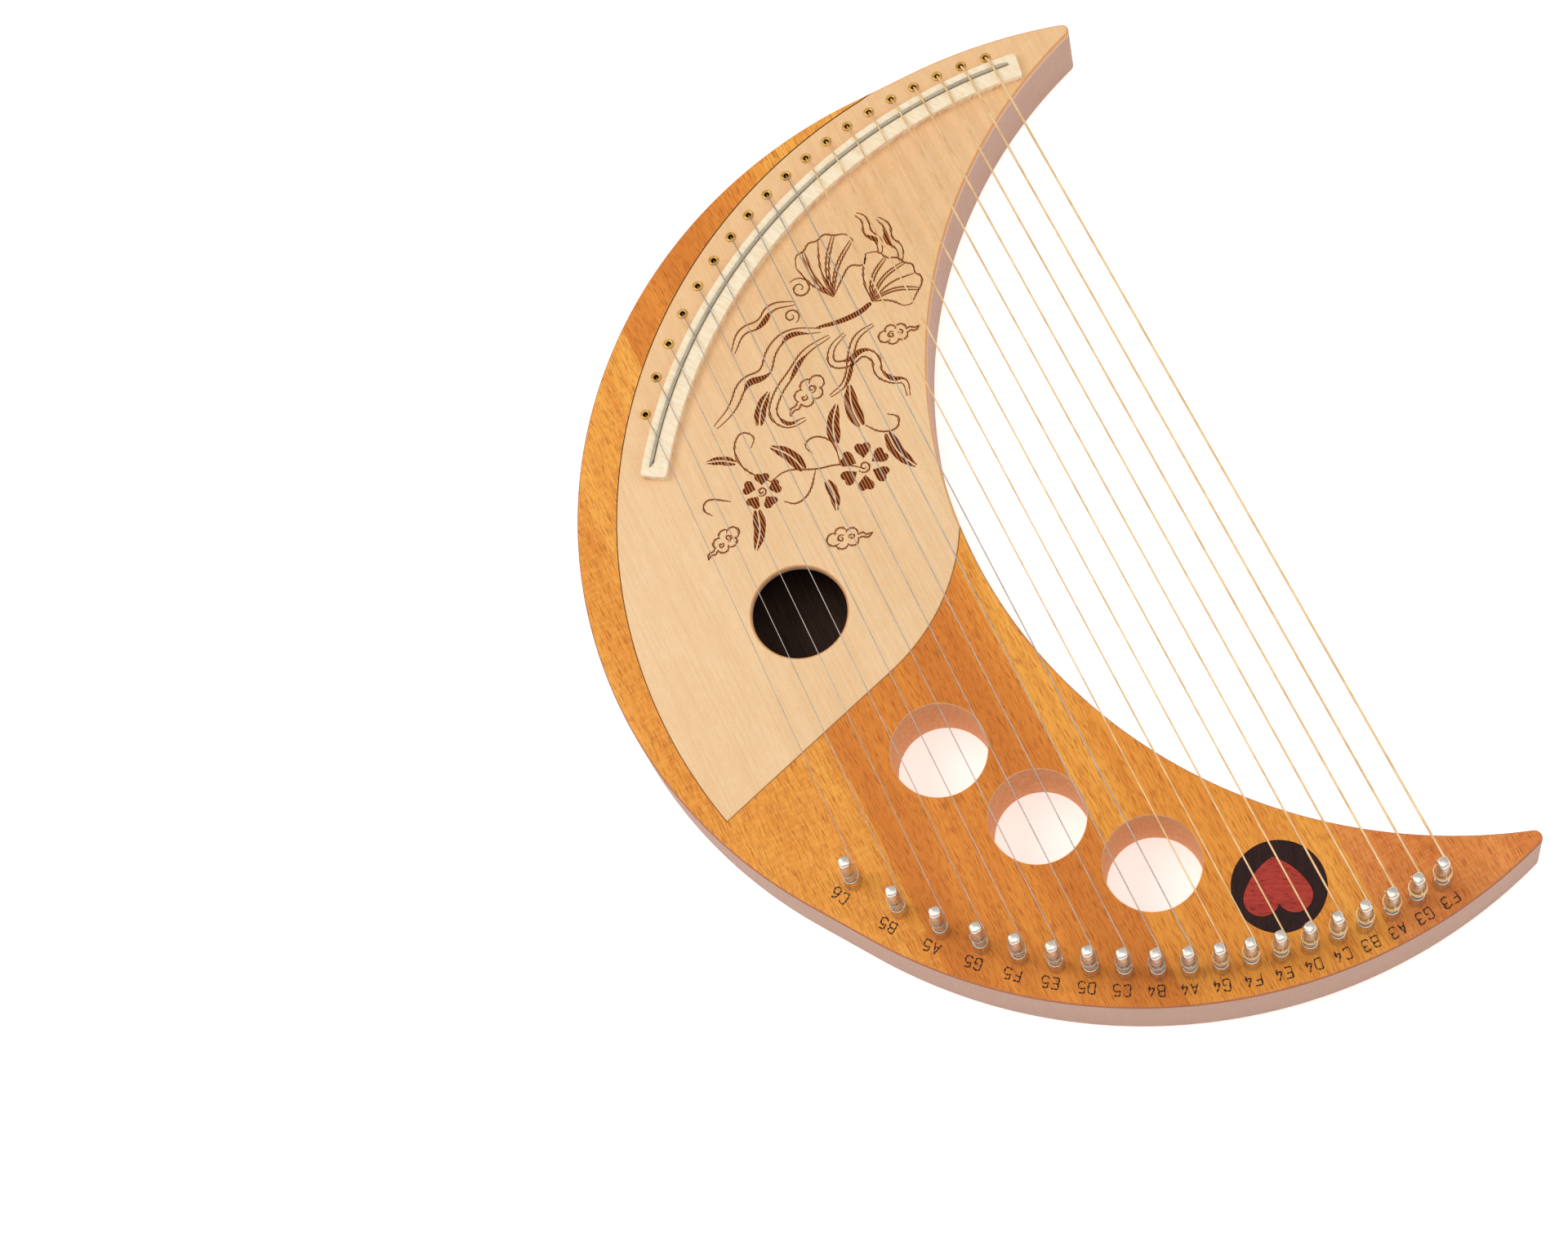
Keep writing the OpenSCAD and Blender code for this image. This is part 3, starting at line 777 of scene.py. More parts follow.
def pleats(apex, ends, sag, double):
    """Lines that open out from one point, each sagging to the same side, some of them twice."""
    made = []
    for number, (x, y) in enumerate(ends):
        middle = ((apex[0] + x) / 2 - (y - apex[1]) * sag, (apex[1] + y) / 2 + (x - apex[0]) * sag)
        line = eased([apex, middle, (x, y)])
        made.append(line)
        if number in double:
            made.append(beside(line, lambda share: 1.3 * math.sin(math.pi * share * 0.8)))
    return made


def cloud(centre, size, heading):
    """A curled cloud: a rim of bulging lobes round two volutes, and a trailing wisp."""
    def spot(along, across):
        there = polar(centre, size * along, heading)
        return polar(there, size * across, heading + 90)
    lobes = (
        (-0.62, 0.0, 0.36, 60, 320), (-0.2, 0.3, 0.33, 20, 190), (0.38, 0.22, 0.32, -20, 165),
        (-0.2, -0.22, 0.36, 190, 345), (0.38, -0.14, 0.32, 210, 380),
    )
    return [
        *[
            arc(spot(along, across), size * radius, heading + start, heading + end)
            for along, across, radius, start, end in lobes
        ],
        volute(spot(-0.22, 0.02), size * 0.22, size * 0.05, heading + 40, 430),
        volute(spot(0.36, 0.04), size * 0.17, size * 0.04, heading + 200, -400),
        eased([spot(0.68, 0.1), spot(0.95, 0.24), spot(1.15, 0.04), spot(1.5, 0.14)]),
        eased([spot(0.68, -0.12), spot(0.95, 0), spot(1.2, -0.16), spot(1.5, 0.14)]),
    ]


def leaf(base, tip, bulge, bend):
    """Two dark halves of a bowed leaf with a light midrib between them."""
    base = Vector(base)
    along = Vector(tip) - base
    side = Vector((-along.y, along.x))
    rib = eased([tuple(base), tuple(base + along * 0.5 + side * bend), tip])
    halves = []
    for sign in (1, -1):
        edge = beside(rib, lambda share: sign * bulge * along.length * math.sin(
            math.pi * share ** 0.8) + sign * 0.12 * math.sin(math.pi * share * 7))
        inner = beside(rib, lambda share: sign * 0.32)
        halves.append(edge[1:-1] + inner[-3:2:-1])
    return halves


def blossom(centre, radius, petals, start):
    """Dark petals with light gaps between them, round a small open spiral."""
    made = []
    for number in range(petals):
        turn = start + 360 / petals * number
        half = 180 / petals
        inner = polar(centre, radius * 0.34, turn)
        outline = [inner]
        for share, swing in (
            (0.5, -0.5), (0.78, -0.84), (0.98, -0.62), (1.02, -0.25), (0.9, 0.0),
            (1.0, 0.28), (0.96, 0.62), (0.76, 0.8), (0.5, 0.45),
        ):
            outline.append(polar(centre, radius * share, turn + swing * half))
        made.append(eased(outline + [inner], 2))
    return made, [volute(centre, radius * 0.26, radius * 0.05, start, 500)]


lines = joined(
    # the fan of pleats and its scalloped hem
    pleats((126, -123.5), [(115.5, -115.6), (107, -119), (105.4, -126.5), (106.9, -132.4),
                           (112.6, -138), (119, -144)], 0.14, (1, 3, 4)),
    [eased([(115.5, -115.6), (112, -114.5), (109.8, -117), (107, -119), (104.2, -121.2),
            (103.4, -124.5), (105.4, -126.5), (103.8, -130.5), (106.9, -132.4), (108.4, -136.4),
            (112.6, -138), (114, -142.6), (119, -144)])],
    # the second fan, behind the first
    pleats((139, -133), [(121, -152), (127, -157.5), (134, -158.5), (141, -157), (147, -152)],
           0.1, (0, 1, 3)),
    [eased([(121, -152), (122.6, -156.4), (127, -157.5), (130.6, -160.6), (134, -158.5),
            (138, -160), (141, -157), (145, -157.4), (147, -152)]),
     eased([(119, -144), (122, -139), (127, -143), (132, -139), (139, -133)])],
    [volute((149.5, -143), 5.0, 0.7, -60, -560), volute((158, -133.5), 3.6, 0.6, 100, 480)],
    cloud((124, -106), 7.0, 168),
    cloud((180, -36), 7.5, 160),
    cloud((166, -100), 8.4, 25),
    cloud((223, -58), 7, 20),
    # stems and tendrils
    [eased([(160, -59), (168, -66), (178, -68), (188, -74), (196, -72)]),
     eased([(178, -68), (184, -60), (191, -58), (195, -62)]),
     eased([(196, -72), (204, -82), (204, -92), (198, -98), (193, -93), (197, -89)]),
     eased([(168, -66), (166, -76), (172, -82), (178, -80), (176, -75)]),
     eased([(152, -76), (148, -70), (141, -68), (138, -73), (142, -76)]),
     eased([(214, -72), (222, -78), (226, -74), (223, -70)])],
)
dark = joined(
    # the striped belt between the fans and the sashes
    [eased([(126.5, -122.4), (132, -120.2), (142, -120.6), (151, -123.4), (151, -124.6),
            (142, -122.8), (132, -122.6), (127, -124.2), (126.5, -122.4)], 2)],
    leaf((153.5, -76), (150, -95), 0.16, 0.1),
    leaf((145.5, -69), (141.5, -50), 0.14, -0.12),
    leaf((166, -74), (158, -90), 0.15, 0.1),
    leaf((182, -70), (190, -86), 0.15, -0.12),
    leaf((176, -62), (178, -48), 0.15, 0.1),
    leaf((206, -64), (214, -48), 0.14, 0.1),
    leaf((205, -86), (216, -92), 0.15, -0.1),
    leaf((190, -96), (180, -108), 0.15, 0.1),
)
for flower_c, flower_r, petals, first in (((160, -60), 10.5, 6, 10), ((201, -70), 8, 5, 30)):
    shapes, spirals = blossom(flower_c, flower_r, petals, first)
    dark += shapes
    lines += spirals
for route, wide, shaded in (
    ([(142, -116), (150, -113), (153, -106), (146, -103), (139, -106), (135, -100), (138, -94),
      (134, -88), (129, -86), (131, -79)], 3.4, ((0.3, 0.5), (0.66, 0.86))),
    ([(150, -122), (162, -128), (172, -124), (178, -115), (188, -117), (196, -108), (206, -104)],
     4.4, ((0.1, 0.3), (0.48, 0.7))),
    ([(148, -118), (160, -117), (168, -111), (177, -106), (184, -98), (180, -90), (172, -90)],
     3.2, ((0.2, 0.42), (0.7, 0.9))),
    ([(107.8, -134), (105.2, -140), (108.6, -145), (105.6, -151), (108, -156)], 3.0,
     ((0.35, 0.7),)),
    ([(113.8, -141), (111.3, -147), (114.8, -152), (112.3, -158), (115, -162)], 3.0,
     ((0.2, 0.5),)),
    ([(154, -138), (164, -142), (170, -136), (179, -138), (186, -130)], 3.4, ((0.3, 0.6),)),
    ([(130, -114), (138, -113), (143, -108), (150, -96), (159, -94)], 2.4, ((0.5, 0.8),)),
):
    edges, folds = ribbon(route, wide, shaded)
    lines += edges
    dark += folds


def burned_finish(name):
    """Scorched wood, striped along the grain by the scanning point."""
    material, place = start_finish(name)
    rows = (place.axis(0) - horn_x * MM) * (2 * math.pi / (BURN_PITCH * MM))
    stripes = place.math("SINE", rows).above(0.3, 0.5)
    char = place.noise(900, 3, 0.6)
    colour = coated(
        paint(84, 31, 9), (stripes, paint(192, 118, 62)),
        (char.above(0.55, 0.15) * 0.35, paint(70, 28, 12)),
    )
    return end_finish(material, {
        "Base Color": colour, "Roughness": 0.8 - stripes * 0.15, "Specular IOR Level": 0.15,
        "Normal": (stripes * 0.6 + char).bump(0.00006, 0.5),
    })


ornament = burned("burned_scrolls", lines, BURN_W, 0.5, dark)
ornament.data.materials.append(burned_finish("scorched_wood"))
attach(ornament, "root")

# ------------------------------------------------------------------ burned note names
# The note of each string is burned beside its pin in narrow single-stroke lettering, upright
# with its top to the outer edge.
LETTER_H = 4.3
LETTER_W = 2.5
LETTER_GAP = 1.25
LABEL_OUT = 7.2          # from the pin's centre to the name's centre
LABEL_ALONG = 1.0
STROKE_W = 0.5
GLYPHS = {
    "a": [[(0, 0), (0.5, 1)], [(0.5, 1), (1, 0)], [(0.2, 0.34), (0.8, 0.34)]],
    "b": [[(0, 0), (0, 1)], [(0, 1), (0.75, 1), (1, 0.77), (0.75, 0.54), (0, 0.54)],
          [(0.5, 0.54), (1, 0.5), (1.05, 0.04), (0.6, 0), (0, 0)]],
    "c": [[(1, 0.84), (0.8, 1), (0, 1.05), (0, 0.5), (0, -0.05), (0.8, 0), (1, 0.16)]],
    "d": [[(0, 0), (0, 1)], [(0, 1), (0.8, 1), (1.05, 0.8), (1.05, 0.2), (0.8, 0), (0, 0)]],
    "e": [[(0, 0), (0, 1)], [(0, 1), (1, 1)], [(0, 0.53), (0.8, 0.53)], [(0, 0), (1, 0)]],
    "f": [[(0, 0), (0, 1)], [(0, 1), (1, 1)], [(0, 0.53), (0.8, 0.53)]],
    "g": [[(1, 0.84), (0.8, 1), (0, 1.05), (0, 0.5), (0, -0.05), (0.9, -0.05), (1, 0.2), (1, 0.48)],
          [(1, 0.48), (0.58, 0.48)]],
    "3": [[(0, 0.86), (0.2, 1), (1, 1.04), (1, 0.58), (0.4, 0.54)],
          [(0.4, 0.54), (1.05, 0.56), (1.05, 0), (0.2, -0.04), (0, 0.16)]],
    "4": [[(0.58, 1), (0, 0.26)], [(0, 0.26), (1, 0.26)], [(0.74, 0.5), (0.74, 0)]],
    "5": [[(0.92, 1), (0.1, 1)], [(0.1, 1), (0.06, 0.52)],
          [(0.06, 0.52), (0.5, 0.66), (1.05, 0.56), (1.05, 0), (0.3, -0.04), (0, 0.14)]],
    "6": [[(0.8, 1), (0.3, 0.95), (0, 0.6), (0, -0.04), (1, -0.06), (1.05, 0.54), (0.3, 0.64),
           (0.02, 0.36)]],
}
PIN_ARC_C = (65.9, 2.4)

letters = []
for note, pin in zip(notes, pin_cs):
    out = bearing(PIN_ARC_C, pin)
    centre = polar(polar(pin, LABEL_OUT, out), LABEL_ALONG, out - 90)
    width = 2 * LETTER_W + LETTER_GAP
    for place_in_name, glyph in enumerate(note):
        start_x = place_in_name * (LETTER_W + LETTER_GAP) - width / 2
        for stroke in GLYPHS[glyph]:
            spots = []
            for along, up in (eased(stroke) if len(stroke) > 2 else stroke):
                there = polar(centre, start_x + along * LETTER_W, out - 90)
                spots.append(polar(there, (up - 0.5) * LETTER_H, out))
            letters.append(spots)
names = burned("burned_note_names", letters, STROKE_W, 0.0)


def inked_burn(name):
    """A deeper, darker burn than the ornament's."""
    material, place = start_finish(name)
    char = place.noise(1500, 3, 0.6)
    colour = char.above(0.5, 0.2).mix(paint(40, 18, 9), paint(72, 36, 18))
    return end_finish(material, {
        "Base Color": colour, "Roughness": 0.75 + char * 0.1,
        "Normal": char.bump(0.00006, 0.5),
    })


names.data.materials.append(inked_burn("dark_burn"))
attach(names, "root")

# ------------------------------------------------------------------ bridge and saddle
# A curved strip of pale softwood glued to the face, its corners eased, with a slot for the
# saddle: a grey strip of composite that the strings press on.
BRIDGE_C = (58.3, 23.4)
BRIDGE_R_IN = 209.4
BRIDGE_R_OUT = 220.2
SADDLE_R = 216.2
SADDLE_W = 1.6
SADDLE_DEPTH = 3
SADDLE_PROUD = 1.2
SADDLE_PLAY = 0.3
BRIDGE_ENDS = (-98.5, -33.5)
SADDLE_ENDS = (-97.8, -34.2)
CORNER_R = 1.6
SLOT_CORNER = 0.8
SADDLE_CORNER = 0.55
BRIDGE_EASE = 0.45
SADDLE_EASE = 0.36


def curved_bar(r_in, r_out, ends, corner):
    """A bar bent round the bridge's centre, its four corners rounded."""
    swing_out = math.degrees(corner / r_out)
    swing_in = math.degrees(corner / r_in)
    def corner_arc(radius, turn, start):
        return arc(polar(BRIDGE_C, radius, turn), corner, start, start + 90)
    return joined(
        arc(BRIDGE_C, r_out, ends[0] + swing_out, ends[1] - swing_out),
        corner_arc(r_out - corner, ends[1] - swing_out, ends[1]),
        corner_arc(r_in + corner, ends[1] - swing_in, ends[1] + 90),
        arc(BRIDGE_C, r_in, ends[1] - swing_in, ends[0] + swing_in),
        corner_arc(r_in + corner, ends[0] + swing_in, ends[0] + 180),
        corner_arc(r_out - corner, ends[0] + swing_out, ends[0] + 270),
    )


def bridge_wood(name):
    """Cream softwood sawn at a slant, so that its growth lines cross the bar, with pinkish
    lines where they run out at the front foot."""
    material, place = start_finish(name)
    wood = place.node("Mapping", {}, {"Vector": place, "Rotation": (0, 0.5, math.radians(-28))})
    lines = wood.stretched(1, 0.05, 0.6).noise(850, 3, 0.6, 0.3)
    fibre = wood.stretched(1, 0.1, 1).noise(2600, 2, 0.5)
    low = 1 - place.axis(2).above((body_h + 2.4) * MM, 1.2 * MM)
    bands = wood.stretched(1, 0.06, 0.25).noise(520, 2, 0.6, 1.2)
    colour = coated(
        paint(255, 240, 210), (lines.above(0.52, 0.16), paint(247, 224, 186)),
        (fibre.above(0.55, 0.15) * 0.25, paint(226, 196, 152)),
        (low * bands.above(0.52, 0.08) * 0.75, paint(222, 170, 140)),
    )
    return end_finish(material, {
        "Base Color": colour, "Roughness": 0.6 + fibre * 0.1,
        "Normal": (lines * 0.6 + fibre * 0.6).bump(0.0001, 0.5),
    })


def saddle_finish(name):
    """Grey-beige composite, speckled, and darker in streaks that run along its length."""
    material, place = start_finish(name)
    speckle = place.noise(1300, 3, 0.6)
    lengthwise_streak = place.stretched(0.2, 1, 1).noise(300, 2, 0.5)
    colour = coated(
        paint(196, 184, 160), (speckle.above(0.5, 0.25), paint(172, 160, 138)),
        # darker streaks stretched along X, which is mostly along the saddle
        (lengthwise_streak.above(0.55, 0.12) * 0.4, paint(146, 136, 118)),
    )
    return end_finish(material, {
        "Base Color": colour, "Roughness": 0.45 + speckle * 0.15,
        "Normal": speckle.bump(0.00008, 0.4),
    })


slot_in = SADDLE_R - SADDLE_W / 2
slot_out = SADDLE_R + SADDLE_W / 2
bridge_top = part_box("bridge")[1].z / MM
bridge = slab(
    "bridge_wood", [curved_bar(BRIDGE_R_IN, BRIDGE_R_OUT, BRIDGE_ENDS, CORNER_R)],
    body_h, bridge_top, BRIDGE_EASE, 0,
)
slot_tool = slab(
    "slot", [curved_bar(slot_in, slot_out, SADDLE_ENDS, SLOT_CORNER)],
    bridge_top - SADDLE_DEPTH, bridge_top + 5,
)
carve(bridge, slot_tool)
bpy.data.objects.remove(slot_tool)
fit(bridge, bridge_wood("bridge_spruce"))
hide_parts("bridge")

saddle_shown = (SADDLE_ENDS[0] + 0.4, SADDLE_ENDS[1] - 0.4)
saddle = slab(
    "saddle_strip", [curved_bar(slot_in + SADDLE_PLAY, slot_out - 0.04, saddle_shown, SADDLE_CORNER)],
    bridge_top - SADDLE_DEPTH, bridge_top + SADDLE_PROUD, SADDLE_EASE, 0,
)
fit(saddle, saddle_finish("saddle_composite"))
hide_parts("saddle")

# ------------------------------------------------------------------ ferrules and ball ends
# Turned brass eyelets pressed into the face carry the strings through the wood, and brass
# barrels looped into the strings stop them in counterbores at the back.
FERRULE_DEPTH = 6


def brass(name):
    """Polished brass, a little tarnished in patches, with fine turning marks."""
    material, place = start_finish(name)
    patches = place.noise(260, 3, 0.6)
    turning = place.stretched(0.3, 0.3, 6).noise(2400, 1, 0.5)
    colour = patches.above(0.55, 0.2).mix(paint(226, 186, 104), paint(186, 140, 66))
    return end_finish(material, {
        "Base Color": colour, "Metallic": 1.0, "Roughness": 0.2 + patches * 0.18,
        "Normal": (patches * 0.5 + turning).bump(0.00003, 0.3),
    })


polished_brass = brass("polished_brass")
ferrules = lathe("ferrule_eyelets", ferrule_cs, [
    (bore, body_h + z) for bore, z in (
        (0.85, -FERRULE_DEPTH), (1.6, -FERRULE_DEPTH), (1.6, 0), (2.05, 0.0), (2.1, 0.15),
        (2.08, 0.42), (1.95, 0.66), (1.72, 0.79), (1.5, 0.8), (1.28, 0.72), (1.08, 0.52),
        (0.92, 0.22), (0.85, -0.2),
    )
], bored=True)
fit(ferrules, polished_brass, corner=50)
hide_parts("string_ferrules")

ball_ends = lathe("ball_end_barrels", ferrule_cs, (
    (0, 1.12), (0.5, 1.0), (1.65, 1.0), (1.8, 1.14), (1.8, 1.72), (1.62, 1.9), (1.35, 2.1),
    (1.26, 2.5), (1.35, 2.9), (1.62, 3.1), (1.8, 3.28), (1.8, 3.86), (1.65, 4.0), (0, 4.0),
))
fit(ball_ends, polished_brass, corner=50)
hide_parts("string_ball_ends")

# ------------------------------------------------------------------ pin bushings
# Nickelled sleeves hold the tuning pins in the wood, each with a flared foot on the face.
PIN_R = 2.5
BUSHING_BORE = 2.58


def nickel(name):
    """Bright nickel plate with fine rings from the lathe, small scratches and dull patches."""
    material, place = start_finish(name)
    rings = place.stretched(0.2, 0.2, 7).noise(1500, 2, 0.6)
    scratches = place.stretched(3, 3, 0.5).noise(1800, 1, 0.5).above(0.66, 0.04)
    patches = place.noise(420, 3, 0.6)
    colour = coated(
        paint(232, 224, 212), (patches.above(0.5, 0.25), paint(210, 200, 188)),
        (scratches * 0.4, paint(170, 160, 148)),
    )
    return end_finish(material, {
        "Base Color": colour, "Metallic": 1.0,
        "Roughness": 0.2 + patches * 0.14 + scratches * 0.15,
        "Normal": (rings * 0.5 + scratches + patches * 0.4).bump(0.00003, 0.25),
    })


bright_nickel = nickel("bright_nickel")
bushings = lathe("pin_sleeves", pin_cs, [
    (radius, body_h + z) for radius, z in (
        (BUSHING_BORE, -8), (3.1, -8), (3.1, 0), (3.5, 0), (3.52, 0.3), (3.42, 0.62),
        (3.2, 0.95), (3.1, 1.4), (3.08, 2.4), (3.1, 8.3), (3.02, 8.72), (2.9, 8.94),
        (2.74, 9.0), (BUSHING_BORE, 8.9),
    )
], bored=True)
fit(bushings, bright_nickel, corner=50)
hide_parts("pin_bushings")

# ------------------------------------------------------------------ tuning pins
# Nickelled steel pins driven into their sleeves, with a cross-drilled hole for the string.
# Four flats lean in to a domed square head that a tuning key grips.
PIN_RISE = 30
PIN_DEPTH = 20
HOLE_RISE = 18.4
HOLE_R = 0.6
HEAD_STARTS = 24.4
HEAD_ROUND = 1.2
HEAD_BEVEL = 0.36
HEAD_TAPER = 0.15        # how much the flats have closed in at the top
HEAD_CORNERS = 12        # the higher, the sharper
HEAD_FULL = 1.018        # makes up for what the blending takes off
PIN_SIDES = 64


def pin_radius(rise, turn):
    """The pin's radius at a height over the face, in the direction turn in radians."""
    if rise <= HEAD_STARTS:
        return PIN_R
    share = (rise - HEAD_STARTS) / (PIN_RISE - HEAD_STARTS)
    flat = PIN_R * (1.0 - HEAD_TAPER * share)
    off_flat = (turn + math.pi / 4) % (math.pi / 2) - math.pi / 4
    blended = PIN_R ** -HEAD_CORNERS + (flat / math.cos(off_flat)) ** -HEAD_CORNERS
    return blended ** (-1 / HEAD_CORNERS) * HEAD_FULL


def tuning_pin(name):
    """A pin at the drawing's origin: its foot, its round shaft and its squared, domed head."""
    solid = bmesh.new()
    levels = [(-PIN_DEPTH, 0.0), (-PIN_DEPTH, 0.7), (-PIN_DEPTH + 0.9, 1.0), (0, 1.0)]
    levels += [(HEAD_STARTS * k / 8, 1.0) for k in range(1, 9)]
    shoulder_z = PIN_RISE - HEAD_ROUND
    levels += [(HEAD_STARTS + (shoulder_z - HEAD_STARTS) * k / 8, 1.0) for k in range(1, 9)]
    for k in range(1, 7):
        t = math.pi / 12 * k
        levels.append((
            shoulder_z + (HEAD_ROUND - 0.14) * math.sin(t), 1 - HEAD_BEVEL * (1 - math.cos(t))
        ))
    levels += [(PIN_RISE - 0.04, 0.3), (PIN_RISE, 0.0)]
    rings = []
    for rise, share in levels:
        count = PIN_SIDES if share > 1e-6 else 1
        ring = []
        for k in range(count):
            turn = 2 * math.pi * k / PIN_SIDES
            radius = min(PIN_R, pin_radius(rise, turn)) * share
            ring.append(solid.verts.new(
                (radius * math.cos(turn), radius * math.sin(turn), body_h + rise)
            ))
        rings.append(ring)
    skin(solid, rings)
    return piece_of(name, solid)


pin_blank = tuning_pin("pin blank")
drill = lathe("drill", [(0, 0)], ((0, -6), (HOLE_R, -6), (HOLE_R, 6), (0, 6)), sides=24)
drill.data.transform(to_frame.inverted())
drill.data.transform(Matrix.Translation((0, 0, body_h + HOLE_RISE)) @ Matrix.Rotation(
    math.pi / 2, 4, "X"))
drill.data.transform(to_frame)
carve(pin_blank, drill)
bpy.data.objects.remove(drill)

PIN_SWING = 14           # how far, in degrees, a tuned pin's hole stands off square
draw = random.Random(19)
pin_turns = [draw.uniform(-PIN_SWING, PIN_SWING) for _ in notes]
for note, (x, y), turned in zip(notes, pin_cs, pin_turns):
    pin = copied(pin_blank, "pin_" + note + "_nickel")
    pin.data.transform(to_frame.inverted())
    pin.data.transform(Matrix.Translation((x, y, 0)) @ Matrix.Rotation(
        math.radians(turned), 4, "Z"))
    pin.data.transform(to_frame)
    fit(pin, bright_nickel, "pin_" + note, corner=40)
    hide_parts("tuning_pin_" + note)
bpy.data.objects.remove(pin_blank)

# ------------------------------------------------------------------ strings
# Nine bronze-wound bass strings and ten plain steel ones. Each comes up through its ferrule,
# bends over the bridge and the saddle, and winds clockwise up its pin into the pin's hole.
# Only its cut end, beyond the hole, turns with the pin.
WOUND = 9
WOUND_D = (1.0, 0.05)      # the thickest, and how much thinner each next one is
PLAIN_D = (0.52, 0.025)
COIL_TURNS = 2.25
COIL_FIT = 0.35
COIL_PITCH = 0.85
COIL_THIN = 0.68          # the winding is pressed thinner round the pin
COIL_STEPS = 24
LIFT = 0.15
ANCHOR_Z = 4.0           # where the string comes out of its ball end
TAIL = (1.0, 2.4)          # how far the cut end sticks out of the hole
TAIL_SWING = 18
TAIL_RISE = 0.8
HOLE_PLAY = 0.08
COIL_WANDER = 0.35
CORNER_BEND = 0.8
WIRE_SIDES = 12


def string_d(k):
    if k < WOUND:
        return WOUND_D[0] - WOUND_D[1] * k
    return PLAIN_D[0] - PLAIN_D[1] * (k - WOUND)


def bend_y(centre, radius, x):
    return centre[1] - math.sqrt(radius ** 2 - (x - centre[0]) ** 2)


def rounded(points, reach):
    """The route with each corner replaced by a short curve."""
    made = [points[0]]
    for before, here, after in zip(points, points[1:], points[2:]):
        before, here, after = Vector(before), Vector(here), Vector(after)
        back = (before - here).normalized() * min(reach, (before - here).length * 0.45)
        on = (after - here).normalized() * min(reach, (after - here).length * 0.45)
        for k in range(5):
            t = k / 4
            made.append(tuple(here + back * (1 - t) ** 2 + on * t ** 2))
    return made + [points[-1]]


def wire(name, route, radius, thin_from=None, thin=1.0):
    """A round wire along a route, with the length along it kept for its winding. From one
    point of the route on it is thinner."""
    solid = bmesh.new()
    along = solid.loops.layers.uv.new("along")
    points = [Vector(p) for p in route]
    last = len(points) - 1
    side = Vector((1, 0, 0))
    turns = [2 * math.pi * j / WIRE_SIDES for j in range(WIRE_SIDES)]
    rings = []
    lengths = [0.0]
    for k, here in enumerate(points):
        ahead = (points[min(k + 1, last)] - points[max(k - 1, 0)]).normalized()
        side = (side - ahead * side.dot(ahead)).normalized()
        up = ahead.cross(side)
        past = 0 if thin_from is None else min(1, max(0, (k - thin_from) / 5))
        here_r = radius * (1 - (1 - thin) * past)
        rings.append([
            solid.verts.new(here + (side * math.cos(t) + up * math.sin(t)) * here_r) for t in turns
        ])
        if k:
            lengths.append(lengths[-1] + (here - points[k - 1]).length)
    for k in range(last):
        for j in range(WIRE_SIDES):
            after = (j + 1) % WIRE_SIDES
            face = solid.faces.new(
                (rings[k][j], rings[k][after], rings[k + 1][after], rings[k + 1][j])
            )
            marks = (
                (lengths[k], j), (lengths[k], j + 1), (lengths[k + 1], j + 1), (lengths[k + 1], j)
            )
            for loop, (length, around) in zip(face.loops, marks):
                loop[along].uv = (length * MM, around / WIRE_SIDES)
    solid.faces.new(rings[0])
    solid.faces.new(rings[-1])
    return piece_of(name, solid)


def string_wire(name, light, dark, pitch, metallic, rough):
    """String metal, darker in bands that repeat along it at the pitch. On a wound string the bands are
    painted shade in the grooves between the turns of its winding; a plain one, drawn smooth, gets the
    same bands further apart.
    """
    material, place = start_finish(name)
    length = place.node("UVMap", {"uv_map": "along"}).axis(0)
    turns = place.math("SINE", length * (2 * math.pi / (pitch * MM)))
    handled = place.noise(120, 3, 0.6)
    colour = handled.above(0.52, 0.2).mix(light, dark)
    # darker between the turns: painted shade in the grooves of the winding
    colour = (turns.above(-0.4, 0.4) * 0.3 + 0.7).mix(dark, colour)
    return end_finish(material, {
        "Base Color": colour, "Metallic": metallic, "Roughness": rough + handled * 0.12,
        "Normal": (turns * 0.5 + handled).bump(0.00002, 0.15),
    })


